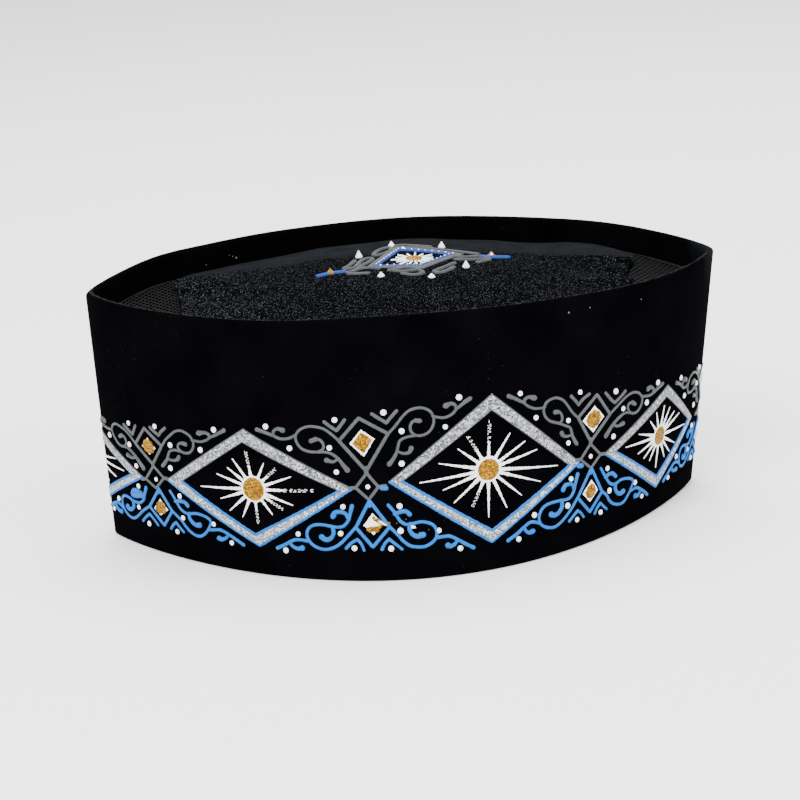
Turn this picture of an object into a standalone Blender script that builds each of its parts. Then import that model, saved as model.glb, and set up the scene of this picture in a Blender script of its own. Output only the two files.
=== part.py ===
"""A songkok: a stiff oval cap of black velvet with a sunken, domed crown.

The wall is one folded band with an open bottom. The crown panel lies a little
under the rim, and a piece of net closes the roof at each pointed end.
Metres, +Z up. The origin is on the surface that the cap stands on, under the
middle of the rim's length and of the hem's width. +X runs along the cap's length.
"""
import math

import bmesh
import bpy

# The wall's outline, outside, at the rim and at the hem
RIM_LENGTH = 0.229
RIM_WIDTH = 0.138
HEM_LENGTH = 0.2155
HEM_WIDTH = 0.171
WALL_HEIGHT = 0.0908
WALL_THICKNESS = 0.003
HEM_SHIFT_X = -0.0043
RIM_SHIFT_Y = -0.0012

# How the outline bends: fullness rounds its sides, sharpness draws out its ends
RIM_FULLNESS = 2.37
RIM_SHARPNESS = 0.733
HEM_FULLNESS = 2.0
HEM_SHARPNESS = 0.877
END_ROUNDING = 0.006

# The rim's soft rise and fall round the cap
RIM_RISE_AT_BACK = 0.003
RIM_FALL_AT_RIGHT = 0.0015
RIM_DIP_AT_ENDS = 0.0012

# The rim's small waves: place along the cap, half width, rise at the back, rise in front
RIM_WAVES = (
    (-0.092, 0.016, 0.0020, 0.0),
    (-0.055, 0.028, 0.0003, -0.00104),
    (0.004, 0.032, 0.0007, -0.00045),
    (0.088, 0.020, 0.0009, -0.0006),
)

# The rounded edges of the hem
HEM_OUTER_ROUND = 0.0009
HEM_INNER_ROUND = 0.0005

# The roof: how deep it sits under the rim, and its crown panel and nets
CROWN_DEPTH = 0.0095
NET_DEPTH = 0.0112
NET_LENGTH = 0.0335
NET_SAG = 0.0006
CROWN_RISE = 0.0060
CROWN_THICKNESS = 0.003
NET_THICKNESS = 0.0008
CROWN_CORNER = 0.006
SEAM_GAP = 0.0003

# How the roof bends: the powers and shares of its curves
DOME_FULLNESS = 2.4
DOME_LEAN = 0.12
DOME_TAPER = 0.78
DOME_TAPER_BEND = 1.4
SEAM_BEND = 4
CORNER_BEND = 6
FOLD_FADE = 0.7

# How finely the shapes are cut, and how often an edge's place is worked out again
WALL_STATIONS = 104
WALL_ROWS = 6
FOLD_STEPS = 6
EDGE_STEPS = 2
CROWN_COLUMNS = 34
CROWN_ROWS = 22
NET_COLUMNS = 9
NET_ROWS = 22
EDGE_PASSES = 3
SHARP_ANGLE = math.radians(50)

# The crown's folds. Each row runs from start to end, as shares of the crown:
# along from 0 at the left end to 1 at the right, across from -1 to 1 at the back.
# The width is a share of the rim's width, the rise a share of the crown's rise.
FOLDS = (
    # along and across at the start, along and across at the end, width, rise
    {"start": (-0.03, 0.47), "end": (0.22, 0.02), "width": 0.026, "rise": -0.36},
    {"start": (-0.03, 0.34), "end": (0.20, -0.12), "width": 0.030, "rise": 0.30},
    {"start": (-0.05, 0.76), "end": (0.20, 0.52), "width": 0.060, "rise": 0.24},
    {"start": (-0.05, -0.26), "end": (0.24, -0.42), "width": 0.080, "rise": 0.12},
    {"start": (0.78, 0.38), "end": (1.00, 0.44), "width": 0.026, "rise": -0.26},
    {"start": (0.78, 0.22), "end": (1.03, 0.27), "width": 0.036, "rise": 0.36},
    {"start": (0.86, 0.02), "end": (1.05, -0.12), "width": 0.042, "rise": -0.60},
    {"start": (0.82, -0.18), "end": (1.02, -0.54), "width": 0.044, "rise": 0.34},
)

# How far each end of the crown swells out over its net: how far, where across, how wide
LEFT_SWELL = {"reach": 0.0020, "across": 0.72, "width": 0.22}
RIGHT_SWELL = {"reach": 0.0075, "across": 0.62, "width": 0.45}

# Where the roof's seam sags along its back edge: place along the cap, half width, depth
SEAM_SAGS = ((-0.057, 0.030, 0.0023), (-0.011, 0.012, 0.0006), (0.0, 0.030, 0.00045),
             (0.044, 0.024, 0.0014), (0.055, 0.010, 0.0007))
SAG_BEND = 4

# Base colour, roughness and metallic value of each material
VELVET = {"name": "black_velvet", "colour": (0.010, 0.010, 0.013), "roughness": 0.92, "metallic": 0.0}
CROWN_VELVET = {"name": "crown_velvet", "colour": (0.018, 0.018, 0.026), "roughness": 0.85, "metallic": 0.0}
NET = {"name": "black_net", "colour": (0.022, 0.024, 0.026), "roughness": 0.70, "metallic": 0.0}


def mix(low, high, share):
    """The value that lies a share of the way from low to high."""
    return low + (high - low) * share


def rim_level(x, y):
    """Height of the rim's top over a point of the plan."""
    along = max(-1.0, min(1.0, x / (RIM_LENGTH / 2)))
    across = max(-1.0, min(1.0, (y - RIM_SHIFT_Y) / (RIM_WIDTH / 2)))
    ends = 2 * along * along - 1
    wave = 0.0
    for place, width, back, front in RIM_WAVES:
        rise = back * across if across > 0 else -front * across
        wave += rise * math.exp(-((x - place) / width) ** 2)
    return WALL_HEIGHT + RIM_RISE_AT_BACK * across - RIM_FALL_AT_RIGHT * along - RIM_DIP_AT_ENDS * ends + wave


def outline(along, level, inset):
    """The oval's x, its middle y and its half width there, at a level of the wall.

    along is the place along the half length, from -1 to 1. level is 0 at the hem
    and 1 at the rim. inset moves the outline inwards.
    """
    half_length = mix(HEM_LENGTH, RIM_LENGTH, level) / 2 - inset
    half_width = mix(HEM_WIDTH, RIM_WIDTH, level) / 2 - inset
    fullness = mix(HEM_FULLNESS, RIM_FULLNESS, level)
    sharpness = mix(HEM_SHARPNESS, RIM_SHARPNESS, level)
    room = max(0.0, 1 - abs(along) ** fullness)
    swell = math.sqrt(room) * ((room + END_ROUNDING) / (1 + END_ROUNDING)) ** (sharpness - 0.5)
    x = HEM_SHIFT_X * (1 - level) + half_length * along
    return x, RIM_SHIFT_Y * level, half_width * swell


def wall_point(angle, height_share, lift, inset):
    """A point of the wall, at an angle round the cap and a height on it."""
    along = math.cos(angle)
    side = 1 if math.sin(angle) >= 0 else -1
    x, middle, half = outline(along, 1.0, 0.0)
    top = rim_level(x, middle + side * half)
    z = height_share * top + lift
    x, middle, half = outline(along, z / top, inset)
    return x, middle + side * half, z


def wall_profile():
    """The wall's section as (height share, lift, inset), once round its outside and inside."""
    points = []
    for step in range(EDGE_STEPS + 1):
        turn = math.pi / 2 * step / EDGE_STEPS
        lift = HEM_OUTER_ROUND * (1 - math.cos(turn))
        points.append((0.0, lift, HEM_OUTER_ROUND * (1 - math.sin(turn))))
    for row in range(1, WALL_ROWS):
        points.append((row / WALL_ROWS, 0.0, 0.0))
    radius = WALL_THICKNESS / 2
    for step in range(FOLD_STEPS + 1):
        turn = math.pi * step / FOLD_STEPS
        points.append((1.0, radius * (math.sin(turn) - 1), radius * (1 - math.cos(turn))))
    for row in range(WALL_ROWS - 1, 0, -1):
        points.append((row / WALL_ROWS, 0.0, WALL_THICKNESS))
    for step in range(EDGE_STEPS + 1):
        turn = math.pi / 2 * step / EDGE_STEPS
        lift = HEM_INNER_ROUND * (1 - math.sin(turn))
        points.append((0.0, lift, WALL_THICKNESS - HEM_INNER_ROUND * (1 - math.cos(turn))))
    return points


def roof_seat(x, y):
    """Height of the seam that joins the roof to the wall, over a point of the plan."""
    along = min(1.0, abs(x) / (RIM_LENGTH / 2))
    back = max(0.0, min(1.0, y / (RIM_WIDTH / 2)))
    sag = sum(depth * math.exp(-((x - place) / width) ** SAG_BEND) for place, width, depth in SEAM_SAGS)
    return rim_level(x, y) - mix(CROWN_DEPTH, NET_DEPTH, along ** SEAM_BEND) - sag * back


def roof_edges(x, clearance):
    """The y of the roof's front and back edges at x, clear of the wall's inner face."""
    edges = []
    for side in (-1, 1):
        y = side * RIM_WIDTH / 2
        for _ in range(EDGE_PASSES):
            level = roof_seat(x, y) / rim_level(x, y)
            inset = WALL_THICKNESS + clearance
            half_length = mix(HEM_LENGTH, RIM_LENGTH, level) / 2 - inset
            along = max(-1.0, min(1.0, (x - HEM_SHIFT_X * (1 - level)) / half_length))
            _, middle, half = outline(along, level, inset)
            y = middle + side * half
        edges.append(y)
    return edges


def crown_end(side, across):
    """The x of the crown's left or right end, whose corners are rounded in plan."""
    swell = LEFT_SWELL if side < 0 else RIGHT_SWELL
    reach = swell["reach"] * math.exp(-((across - swell["across"]) / swell["width"]) ** 2)
    corner = CROWN_CORNER * abs(across) ** CORNER_BEND
    return side * (RIM_LENGTH / 2 - NET_LENGTH + reach - corner)


def fold_rise(along, across):
    """What the folds add to the crown's height."""
    crown_length = RIM_LENGTH - 2 * NET_LENGTH
    total = 0.0
    for fold in FOLDS:
        (u0, v0), (u1, v1) = fold["start"], fold["end"]
        run = ((u1 - u0) * crown_length, (v1 - v0) * RIM_WIDTH / 2)
        here = ((along - u0) * crown_length, (across - v0) * RIM_WIDTH / 2)
        length_squared = run[0] ** 2 + run[1] ** 2
        share = (here[0] * run[0] + here[1] * run[1]) / length_squared
        nearest = max(0.0, min(1.0, share))
        gap = math.hypot(here[0] - nearest * run[0], here[1] - nearest * run[1])
        width = fold["width"] * RIM_WIDTH
        inner_end = 1 - nearest if u0 < 0 else nearest
        total += fold["rise"] * CROWN_RISE * math.exp(-(gap / width) ** 2) * inner_end ** FOLD_FADE
    return total


def crown_height(along, across, x, y):
    """Height of the crown panel's upper face."""
    lean = across - DOME_LEAN * (1 - across * across)
    dome = 1 - abs(lean) ** DOME_FULLNESS
    ends = 1 - DOME_TAPER * abs(2 * along - 1) ** DOME_TAPER_BEND
    edge_fade = 1 - across ** CORNER_BEND
    rise = CROWN_RISE * dome * ends + fold_rise(along, across) * edge_fade
    return roof_seat(x, y) + CROWN_THICKNESS / 2 + rise


def crown_point(u, v):
    """A point of the crown panel's upper face, for shares u and v from 0 to 1."""
    across = 2 * v - 1
    x = mix(crown_end(-1, across), crown_end(1, across), u)
    front, back = roof_edges(x, SEAM_GAP)
    y = mix(front, back, v)
    return x, y, crown_height(u, across, x, y)


def net_point(side, u, v):
    """A point of a net's upper face, from the crown's end out to the wall's tip."""
    across = 2 * v - 1
    near = crown_end(side, across) + side * SEAM_GAP
    tip_inset = WALL_THICKNESS + 2 * SEAM_GAP
    level = (WALL_HEIGHT - NET_DEPTH) / WALL_HEIGHT
    tip = HEM_SHIFT_X * (1 - level) + side * (mix(HEM_LENGTH, RIM_LENGTH, level) / 2 - tip_inset)
    x = mix(near, tip, u)
    front, back = roof_edges(x, SEAM_GAP)
    y = mix(front, back, v)
    sag = NET_SAG * 4 * u * (1 - u) * (1 - across * across)
    return x, y, roof_seat(x, y) + NET_THICKNESS / 2 - sag


def make_material(look):
    """A Principled material with a velvet's or net's colour, roughness and metallic value."""
    material = bpy.data.materials.new(look["name"])
    material.use_nodes = True
    shader = material.node_tree.nodes["Principled BSDF"]
    shader.inputs["Base Color"].default_value = (*look["colour"], 1.0)
    shader.inputs["Roughness"].default_value = look["roughness"]
    shader.inputs["Metallic"].default_value = look["metallic"]
    return material


def add_object(name, shape, look, collection, parent):
    """Turns a bmesh into a named object with its faces pointing out."""
    bmesh.ops.recalc_face_normals(shape, faces=shape.faces[:])
    mesh = bpy.data.meshes.new(name)
    shape.to_mesh(mesh)
    shape.free()
    mesh.shade_smooth()
    mesh.set_sharp_from_angle(angle=SHARP_ANGLE)
    mesh.materials.append(make_material(look))
    piece = bpy.data.objects.new(name, mesh)
    piece.parent = parent
    collection.objects.link(piece)
    return piece


def make_wall(collection, parent):
    """The folded band, lofted as one closed ring of sections round the cap."""
    shape = bmesh.new()
    profile = wall_profile()
    sections = []
    for station in range(WALL_STATIONS):
        angle = 2 * math.pi * station / WALL_STATIONS
        sections.append([shape.verts.new(wall_point(angle, *place)) for place in profile])
    for station in range(WALL_STATIONS):
        here, after = sections[station], sections[(station + 1) % WALL_STATIONS]
        for k in range(len(profile)):
            n = (k + 1) % len(profile)
            shape.faces.new((here[k], after[k], after[n], here[n]))
    return add_object("side_wall", shape, VELVET, collection, parent)


def make_sheet(name, point, columns, rows, thickness, look, collection, parent):
    """A panel of even thickness under an upper face that point(u, v) describes."""
    shape = bmesh.new()
    bmesh.ops.create_grid(shape, x_segments=columns, y_segments=rows, size=0.5)
    for vert in shape.verts:
        vert.co = point(vert.co.x + 0.5, vert.co.y + 0.5)
    lower = bmesh.ops.extrude_face_region(shape, geom=shape.faces[:])
    for item in lower["geom"]:
        if isinstance(item, bmesh.types.BMVert):
            item.co.z -= thickness
    return add_object(name, shape, look, collection, parent)


def make_songkok():
    """Builds every piece in a collection of its own."""
    for old in list(bpy.data.objects):
        bpy.data.objects.remove(old, do_unlink=True)
    collection = bpy.data.collections.new("songkok")
    bpy.context.scene.collection.children.link(collection)
    root = bpy.data.objects.new("songkok_origin", None)
    collection.objects.link(root)
    make_wall(collection, root)
    make_sheet("crown_panel", crown_point, CROWN_COLUMNS, CROWN_ROWS, CROWN_THICKNESS,
               CROWN_VELVET, collection, root)
    for name, side in (("net_left", -1), ("net_right", 1)):
        make_sheet(name, lambda u, v, side=side: net_point(side, u, v), NET_COLUMNS, NET_ROWS,
                   NET_THICKNESS, NET, collection, root)


make_songkok()
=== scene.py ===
"""The looks of a songkok: black velvet, a sparkling crown, open net ends and a painted border.

Metres, +Z up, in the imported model's frame. The border is charted on the wall laid
flat, in millimetres: along runs round the cap from its left tip through the front,
measured at CHART_HEIGHT, and up is the height on a wall that is CHART_TOP high all round.
"""

import math
import random

import bmesh
import bpy
import numpy as np
from mathutils import Matrix, Vector


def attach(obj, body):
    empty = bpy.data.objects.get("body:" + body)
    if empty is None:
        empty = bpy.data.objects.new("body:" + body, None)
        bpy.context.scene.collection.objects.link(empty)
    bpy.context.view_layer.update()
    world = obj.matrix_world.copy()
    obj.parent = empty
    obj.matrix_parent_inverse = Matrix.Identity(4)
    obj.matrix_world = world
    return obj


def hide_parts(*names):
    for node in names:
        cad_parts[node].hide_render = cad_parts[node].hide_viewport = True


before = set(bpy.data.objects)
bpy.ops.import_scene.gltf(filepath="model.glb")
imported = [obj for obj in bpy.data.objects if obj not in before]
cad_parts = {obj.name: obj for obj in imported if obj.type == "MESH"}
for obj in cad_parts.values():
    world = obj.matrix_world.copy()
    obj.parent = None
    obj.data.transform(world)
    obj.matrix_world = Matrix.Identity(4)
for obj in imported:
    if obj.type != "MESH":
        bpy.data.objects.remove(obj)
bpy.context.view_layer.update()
MM = 0.001

# The photo's view: where the camera aims, where it stands and its lens
VIEW_TARGET = (-0.00415, -0.00118, 0.04096)
VIEW_AZIMUTH = math.radians(-5.4243)
VIEW_ELEVATION = math.radians(14.9245)
VIEW_ROLL = math.radians(-3.7631)
VIEW_DISTANCE = 0.97001
LENS = 119.07
SENSOR_WIDTH = 36.0

# The cap's sizes and bends, as in the part
RIM_LENGTH = 0.229
RIM_WIDTH = 0.138
HEM_LENGTH = 0.2155
HEM_WIDTH = 0.171
WALL_HEIGHT = 0.0908
WALL_THICKNESS = 0.003
HEM_SHIFT_X = -0.0043
RIM_SHIFT_Y = -0.0012
RIM_FULLNESS = 2.37
RIM_SHARPNESS = 0.733
HEM_FULLNESS = 2.0
HEM_SHARPNESS = 0.877
END_ROUNDING = 0.006
RIM_RISE_AT_BACK = 0.003
RIM_FALL_AT_RIGHT = 0.0015
RIM_DIP_AT_ENDS = 0.0012

# The rim's small waves: place along the cap, half width, rise at the back, rise in front
RIM_WAVES = (
    (-0.092, 0.016, 0.0020, 0.0),
    (-0.055, 0.028, 0.0003, -0.00104),
    (0.004, 0.032, 0.0007, -0.00045),
    (0.088, 0.020, 0.0009, -0.0006),
)
HEM_OUTER_ROUND = 0.0009
HEM_INNER_ROUND = 0.0005
CROWN_DEPTH = 0.0095
NET_DEPTH = 0.0112
NET_LENGTH = 0.0335
NET_SAG = 0.0006
CROWN_RISE = 0.0060
CROWN_THICKNESS = 0.003
NET_THICKNESS = 0.0008
CROWN_CORNER = 0.006
SEAM_GAP = 0.0003
DOME_FULLNESS = 2.4
DOME_LEAN = 0.12
DOME_TAPER = 0.78
DOME_TAPER_BEND = 1.4
SEAM_BEND = 4
CORNER_BEND = 6
FOLD_FADE = 0.7
FOLDS = (
    # along and across at the start, along and across at the end, width, rise
    {"start": (-0.03, 0.47), "end": (0.22, 0.02), "width": 0.026, "rise": -0.36},
    {"start": (-0.03, 0.34), "end": (0.20, -0.12), "width": 0.030, "rise": 0.30},
    {"start": (-0.05, 0.76), "end": (0.20, 0.52), "width": 0.060, "rise": 0.24},
    {"start": (-0.05, -0.26), "end": (0.24, -0.42), "width": 0.080, "rise": 0.12},
    {"start": (0.78, 0.38), "end": (1.00, 0.44), "width": 0.026, "rise": -0.26},
    {"start": (0.78, 0.22), "end": (1.03, 0.27), "width": 0.036, "rise": 0.36},
    {"start": (0.86, 0.02), "end": (1.05, -0.12), "width": 0.042, "rise": -0.60},
    {"start": (0.82, -0.18), "end": (1.02, -0.54), "width": 0.044, "rise": 0.34},
)

# How far each end of the crown swells out over its net: how far, where across, how wide
LEFT_SWELL = {"reach": 0.0020, "across": 0.72, "width": 0.22}
RIGHT_SWELL = {"reach": 0.0075, "across": 0.62, "width": 0.45}

# Where the roof's seam sags along its back edge: place along the cap, half width, depth
SEAM_SAGS = ((-0.057, 0.030, 0.0023), (-0.011, 0.012, 0.0006), (0.0, 0.030, 0.00045),
             (0.044, 0.024, 0.0014), (0.055, 0.010, 0.0007))
SAG_BEND = 4

# How finely the shapes are cut
WALL_STATIONS = 560
WALL_ROWS = 26
FOLD_STEPS = 12
EDGE_STEPS = 4
CROWN_COLUMNS = 200
CROWN_ROWS = 150
EDGE_PASSES = 3
BEAD_SIDES = 8
PATH_STEP = 0.45
SMOOTH_ANGLE = 60
PAINT_SMOOTH_ANGLE = 50

# The chart of the wall: the height that it is measured at, its top, and how finely
CHART_HEIGHT = 31.0
CHART_TOP = 91.25
CHART_STEPS = 2880

# The uneven parts draw from this in turn
DICE = random.Random(11)


def mix(low, high, share):
    """The value that lies a share of the way from low to high."""
    return low + (high - low) * share


def rim_level(x, y):
    """Height of the rim's top over a point of the plan."""
    along = max(-1.0, min(1.0, x / (RIM_LENGTH / 2)))
    across = max(-1.0, min(1.0, (y - RIM_SHIFT_Y) / (RIM_WIDTH / 2)))
    ends = 2 * along * along - 1
    wave = 0.0
    for place, width, back, front in RIM_WAVES:
        rise = back * across if across > 0 else -front * across
        wave += rise * math.exp(-((x - place) / width) ** 2)
    return (WALL_HEIGHT + RIM_RISE_AT_BACK * across - RIM_FALL_AT_RIGHT * along
            - RIM_DIP_AT_ENDS * ends + wave)


def outline(along, level, inset):
    """The oval's x, its middle y and its half width there, at a level of the wall."""
    half_length = mix(HEM_LENGTH, RIM_LENGTH, level) / 2 - inset
    half_width = mix(HEM_WIDTH, RIM_WIDTH, level) / 2 - inset
    fullness = mix(HEM_FULLNESS, RIM_FULLNESS, level)
    sharpness = mix(HEM_SHARPNESS, RIM_SHARPNESS, level)
    room = max(0.0, 1 - abs(along) ** fullness)
    swell = math.sqrt(room) * ((room + END_ROUNDING) / (1 + END_ROUNDING)) ** (sharpness - 0.5)
    x = HEM_SHIFT_X * (1 - level) + half_length * along
    return x, RIM_SHIFT_Y * level, half_width * swell


def rim_top(angle):
    """Height of the rim at an angle round the cap."""
    along = math.cos(angle)
    side = 1 if math.sin(angle) >= 0 else -1
    x, middle, half = outline(along, 1.0, 0.0)
    return rim_level(x, middle + side * half)


def wall_point(angle, z, inset):
    """A point of the wall, at an angle round the cap and a height."""
    along = math.cos(angle)
    side = 1 if math.sin(angle) >= 0 else -1
    x, middle, half = outline(along, z / rim_top(angle), inset)
    return x, middle + side * half, z


def chart_table():
    """Angles round the cap from its left tip, and the length along the wall to each."""
    angles = [math.pi + 2 * math.pi * step / CHART_STEPS for step in range(CHART_STEPS + 1)]
    points = np.array([wall_point(angle, CHART_HEIGHT * MM, 0.0) for angle in angles])
    steps = np.linalg.norm(np.diff(points, axis=0), axis=1)
    return np.array(angles), np.concatenate([[0.0], np.cumsum(steps)]) / MM


CHART_ANGLES, CHART_LENGTHS = chart_table()
GIRTH = float(CHART_LENGTHS[-1])


def on_wall(along, up):
    """The point of the wall's outside at a place of the chart, and the normal there."""
    angle = float(np.interp(along % GIRTH, CHART_LENGTHS, CHART_ANGLES))
    z = up / CHART_TOP * rim_top(angle)
    turn = 0.002
    rise = 0.0005
    here = Vector(wall_point(angle, z, 0.0))
    ahead = Vector(wall_point(angle + turn, z, 0.0)) - Vector(wall_point(angle - turn, z, 0.0))
    above = Vector(wall_point(angle, z + rise, 0.0)) - Vector(wall_point(angle, z - rise, 0.0))
    return here, ahead.cross(above).normalized()


def roof_seat(x, y):
    """Height of the seam that joins the roof to the wall, over a point of the plan."""
    along = min(1.0, abs(x) / (RIM_LENGTH / 2))
    back = max(0.0, min(1.0, y / (RIM_WIDTH / 2)))
    sag = sum(depth * math.exp(-((x - place) / width) ** SAG_BEND) for place, width, depth in SEAM_SAGS)
    return rim_level(x, y) - mix(CROWN_DEPTH, NET_DEPTH, along ** SEAM_BEND) - sag * back


def roof_edges(x, clearance):
    """The y of the roof's front and back edges at x, clear of the wall's inner face."""
    edges = []
    for side in (-1, 1):
        y = side * RIM_WIDTH / 2
        for _ in range(EDGE_PASSES):
            level = roof_seat(x, y) / rim_level(x, y)
            inset = WALL_THICKNESS + clearance
            half_length = mix(HEM_LENGTH, RIM_LENGTH, level) / 2 - inset
            along = max(-1.0, min(1.0, (x - HEM_SHIFT_X * (1 - level)) / half_length))
            _, middle, half = outline(along, level, inset)
            y = middle + side * half
        edges.append(y)
    return edges


def crown_end(side, across):
    """The x of the crown's left or right end, whose corners are rounded in plan."""
    swell = LEFT_SWELL if side < 0 else RIGHT_SWELL
    reach = swell["reach"] * math.exp(-((across - swell["across"]) / swell["width"]) ** 2)
    corner = CROWN_CORNER * abs(across) ** CORNER_BEND
    return side * (RIM_LENGTH / 2 - NET_LENGTH + reach - corner)


def fold_rise(along, across):
    """What the folds add to the crown's height."""
    crown_length = RIM_LENGTH - 2 * NET_LENGTH
    total = 0.0
    for fold in FOLDS:
        (u0, v0), (u1, v1) = fold["start"], fold["end"]
        run = ((u1 - u0) * crown_length, (v1 - v0) * RIM_WIDTH / 2)
        here = ((along - u0) * crown_length, (across - v0) * RIM_WIDTH / 2)
        length_squared = run[0] ** 2 + run[1] ** 2
        share = (here[0] * run[0] + here[1] * run[1]) / length_squared
        nearest = max(0.0, min(1.0, share))
        gap = math.hypot(here[0] - nearest * run[0], here[1] - nearest * run[1])
        width = fold["width"] * RIM_WIDTH
        inner_end = 1 - nearest if u0 < 0 else nearest
        total += fold["rise"] * CROWN_RISE * math.exp(-(gap / width) ** 2) * inner_end ** FOLD_FADE
    return total


def crown_height(along, across, x, y):
    """Height of the crown panel's upper face."""
    lean = across - DOME_LEAN * (1 - across * across)
    dome = 1 - abs(lean) ** DOME_FULLNESS
    ends = 1 - DOME_TAPER * abs(2 * along - 1) ** DOME_TAPER_BEND
    edge_fade = 1 - across ** CORNER_BEND
    rise = CROWN_RISE * dome * ends + fold_rise(along, across) * edge_fade
    return roof_seat(x, y) + CROWN_THICKNESS / 2 + rise


def crown_point(u, v):
    """A point of the crown panel's upper face, for shares u and v from 0 to 1."""
    across = 2 * v - 1
    x = mix(crown_end(-1, across), crown_end(1, across), u)
    front, back = roof_edges(x, SEAM_GAP)
    y = mix(front, back, v)
    return x, y, crown_height(u, across, x, y)


def crown_top(x, y):
    """The crown's height over a point of the plan."""
    front, back = roof_edges(x, SEAM_GAP)
    across = max(-1.0, min(1.0, 2 * (y - front) / (back - front) - 1))
    left = crown_end(-1, across)
    return crown_height((x - left) / (crown_end(1, across) - left), across, x, y)


def on_crown(x_mm, y_mm):
    """The point of the crown's upper face over a point of the plan, and the normal there."""
    x, y = x_mm * MM, y_mm * MM
    reach = 0.0005
    here = Vector((x, y, crown_top(x, y)))
    ahead = Vector((2 * reach, 0, crown_top(x + reach, y) - crown_top(x - reach, y)))
    above = Vector((0, 2 * reach, crown_top(x, y + reach) - crown_top(x, y - reach)))
    return here, ahead.cross(above).normalized()


def net_point(side, u, v):
    """A point of a net's upper face, from the crown's end out to the wall's tip."""
    across = 2 * v - 1
    near = crown_end(side, across) + side * SEAM_GAP
    tip_inset = WALL_THICKNESS + 2 * SEAM_GAP
    level = (WALL_HEIGHT - NET_DEPTH) / WALL_HEIGHT
    tip = HEM_SHIFT_X * (1 - level) + side * (mix(HEM_LENGTH, RIM_LENGTH, level) / 2 - tip_inset)
    x = mix(near, tip, u)
    front, back = roof_edges(x, SEAM_GAP)
    y = mix(front, back, v)
    sag = NET_SAG * 4 * u * (1 - u) * (1 - across * across)
    return x, y, roof_seat(x, y) + NET_THICKNESS / 2 - sag


class Shape:
    """Points and faces that become one mesh."""

    def __init__(self):
        self.points = []
        self.faces = []

    def ring(self, points):
        """Adds a ring of points and gives its first index."""
        start = len(self.points)
        self.points.extend(points)
        return start

    def bridge(self, first, second, count):
        """Joins two rings of the same count by quads."""
        for k in range(count):
            n = (k + 1) % count
            self.faces.append((first + k, first + n, second + n, second + k))

    def cap(self, first, count, flip=False):
        """Closes a ring with one face."""
        face = tuple(range(first, first + count))
        self.faces.append(face[::-1] if flip else face)

    def skin(self, rings, count):
        """Joins rings of the same count in a row and closes both ends."""
        for first, second in zip(rings, rings[1:]):
            self.bridge(first, second, count)
        self.cap(rings[0], count, flip=True)
        self.cap(rings[-1], count)


def add_piece(name, shape, material, smooth_angle=SMOOTH_ANGLE):
    """Turns a shape into a named object of the scene that rides on the cap."""
    draft = bpy.data.meshes.new(name + "_draft")
    draft.from_pydata(shape.points, [], shape.faces)
    work = bmesh.new()
    work.from_mesh(draft)
    bpy.data.meshes.remove(draft)
    return add_mesh(name, work, material, smooth_angle)


def add_mesh(name, work, material, smooth_angle=SMOOTH_ANGLE):
    """Turns an edited mesh into a named object of the scene that rides on the cap."""
    mesh = bpy.data.meshes.new(name)
    bmesh.ops.recalc_face_normals(work, faces=work.faces[:])
    work.to_mesh(mesh)
    work.free()
    mesh.shade_smooth()
    mesh.set_sharp_from_angle(angle=math.radians(smooth_angle))
    mesh.materials.append(material)
    piece = bpy.data.objects.new(name, mesh)
    bpy.context.scene.collection.objects.link(piece)
    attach(piece, "root")
    return piece


# Materials

# Painted sheen on the right tip, a lighter patch where light grazes the velvet: where it begins and is full
# along x, its raggedness and heights
SHEEN_TIP_START = 0.1085
SHEEN_TIP_END = 0.1165
SHEEN_TIP_RAGGED = 0.004
SHEEN_TIP_BOTTOM = 0.074
SHEEN_TIP_TOP = 0.0885

# Painted sheen, a smooth lighter strip along the crown's back where light grazes the cloth: where it begins
# and is full, how it leans with x, its raggedness and how much of the cloth it hides
SHEEN_STRIP_START = 0.025
SHEEN_STRIP_END = 0.031
SHEEN_STRIP_LEAN = 0.10
SHEEN_STRIP_RAGGED = 0.006
SHEEN_STRIP_SHARE = 0.85

# The crown's sparkle, painted glints as light specks in the cloth's colour: its grain, and where along x it
# thins out, to what share, so the left end is lighter
SPARKLE_CELLS = 2400.0
SPARKLE_DENSE_X = -0.072
SPARKLE_THIN_X = -0.035
SPARKLE_THIN_SHARE = 0.62

# The grain of the glitter paints
GLITTER_CELLS = 2100.0


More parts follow.
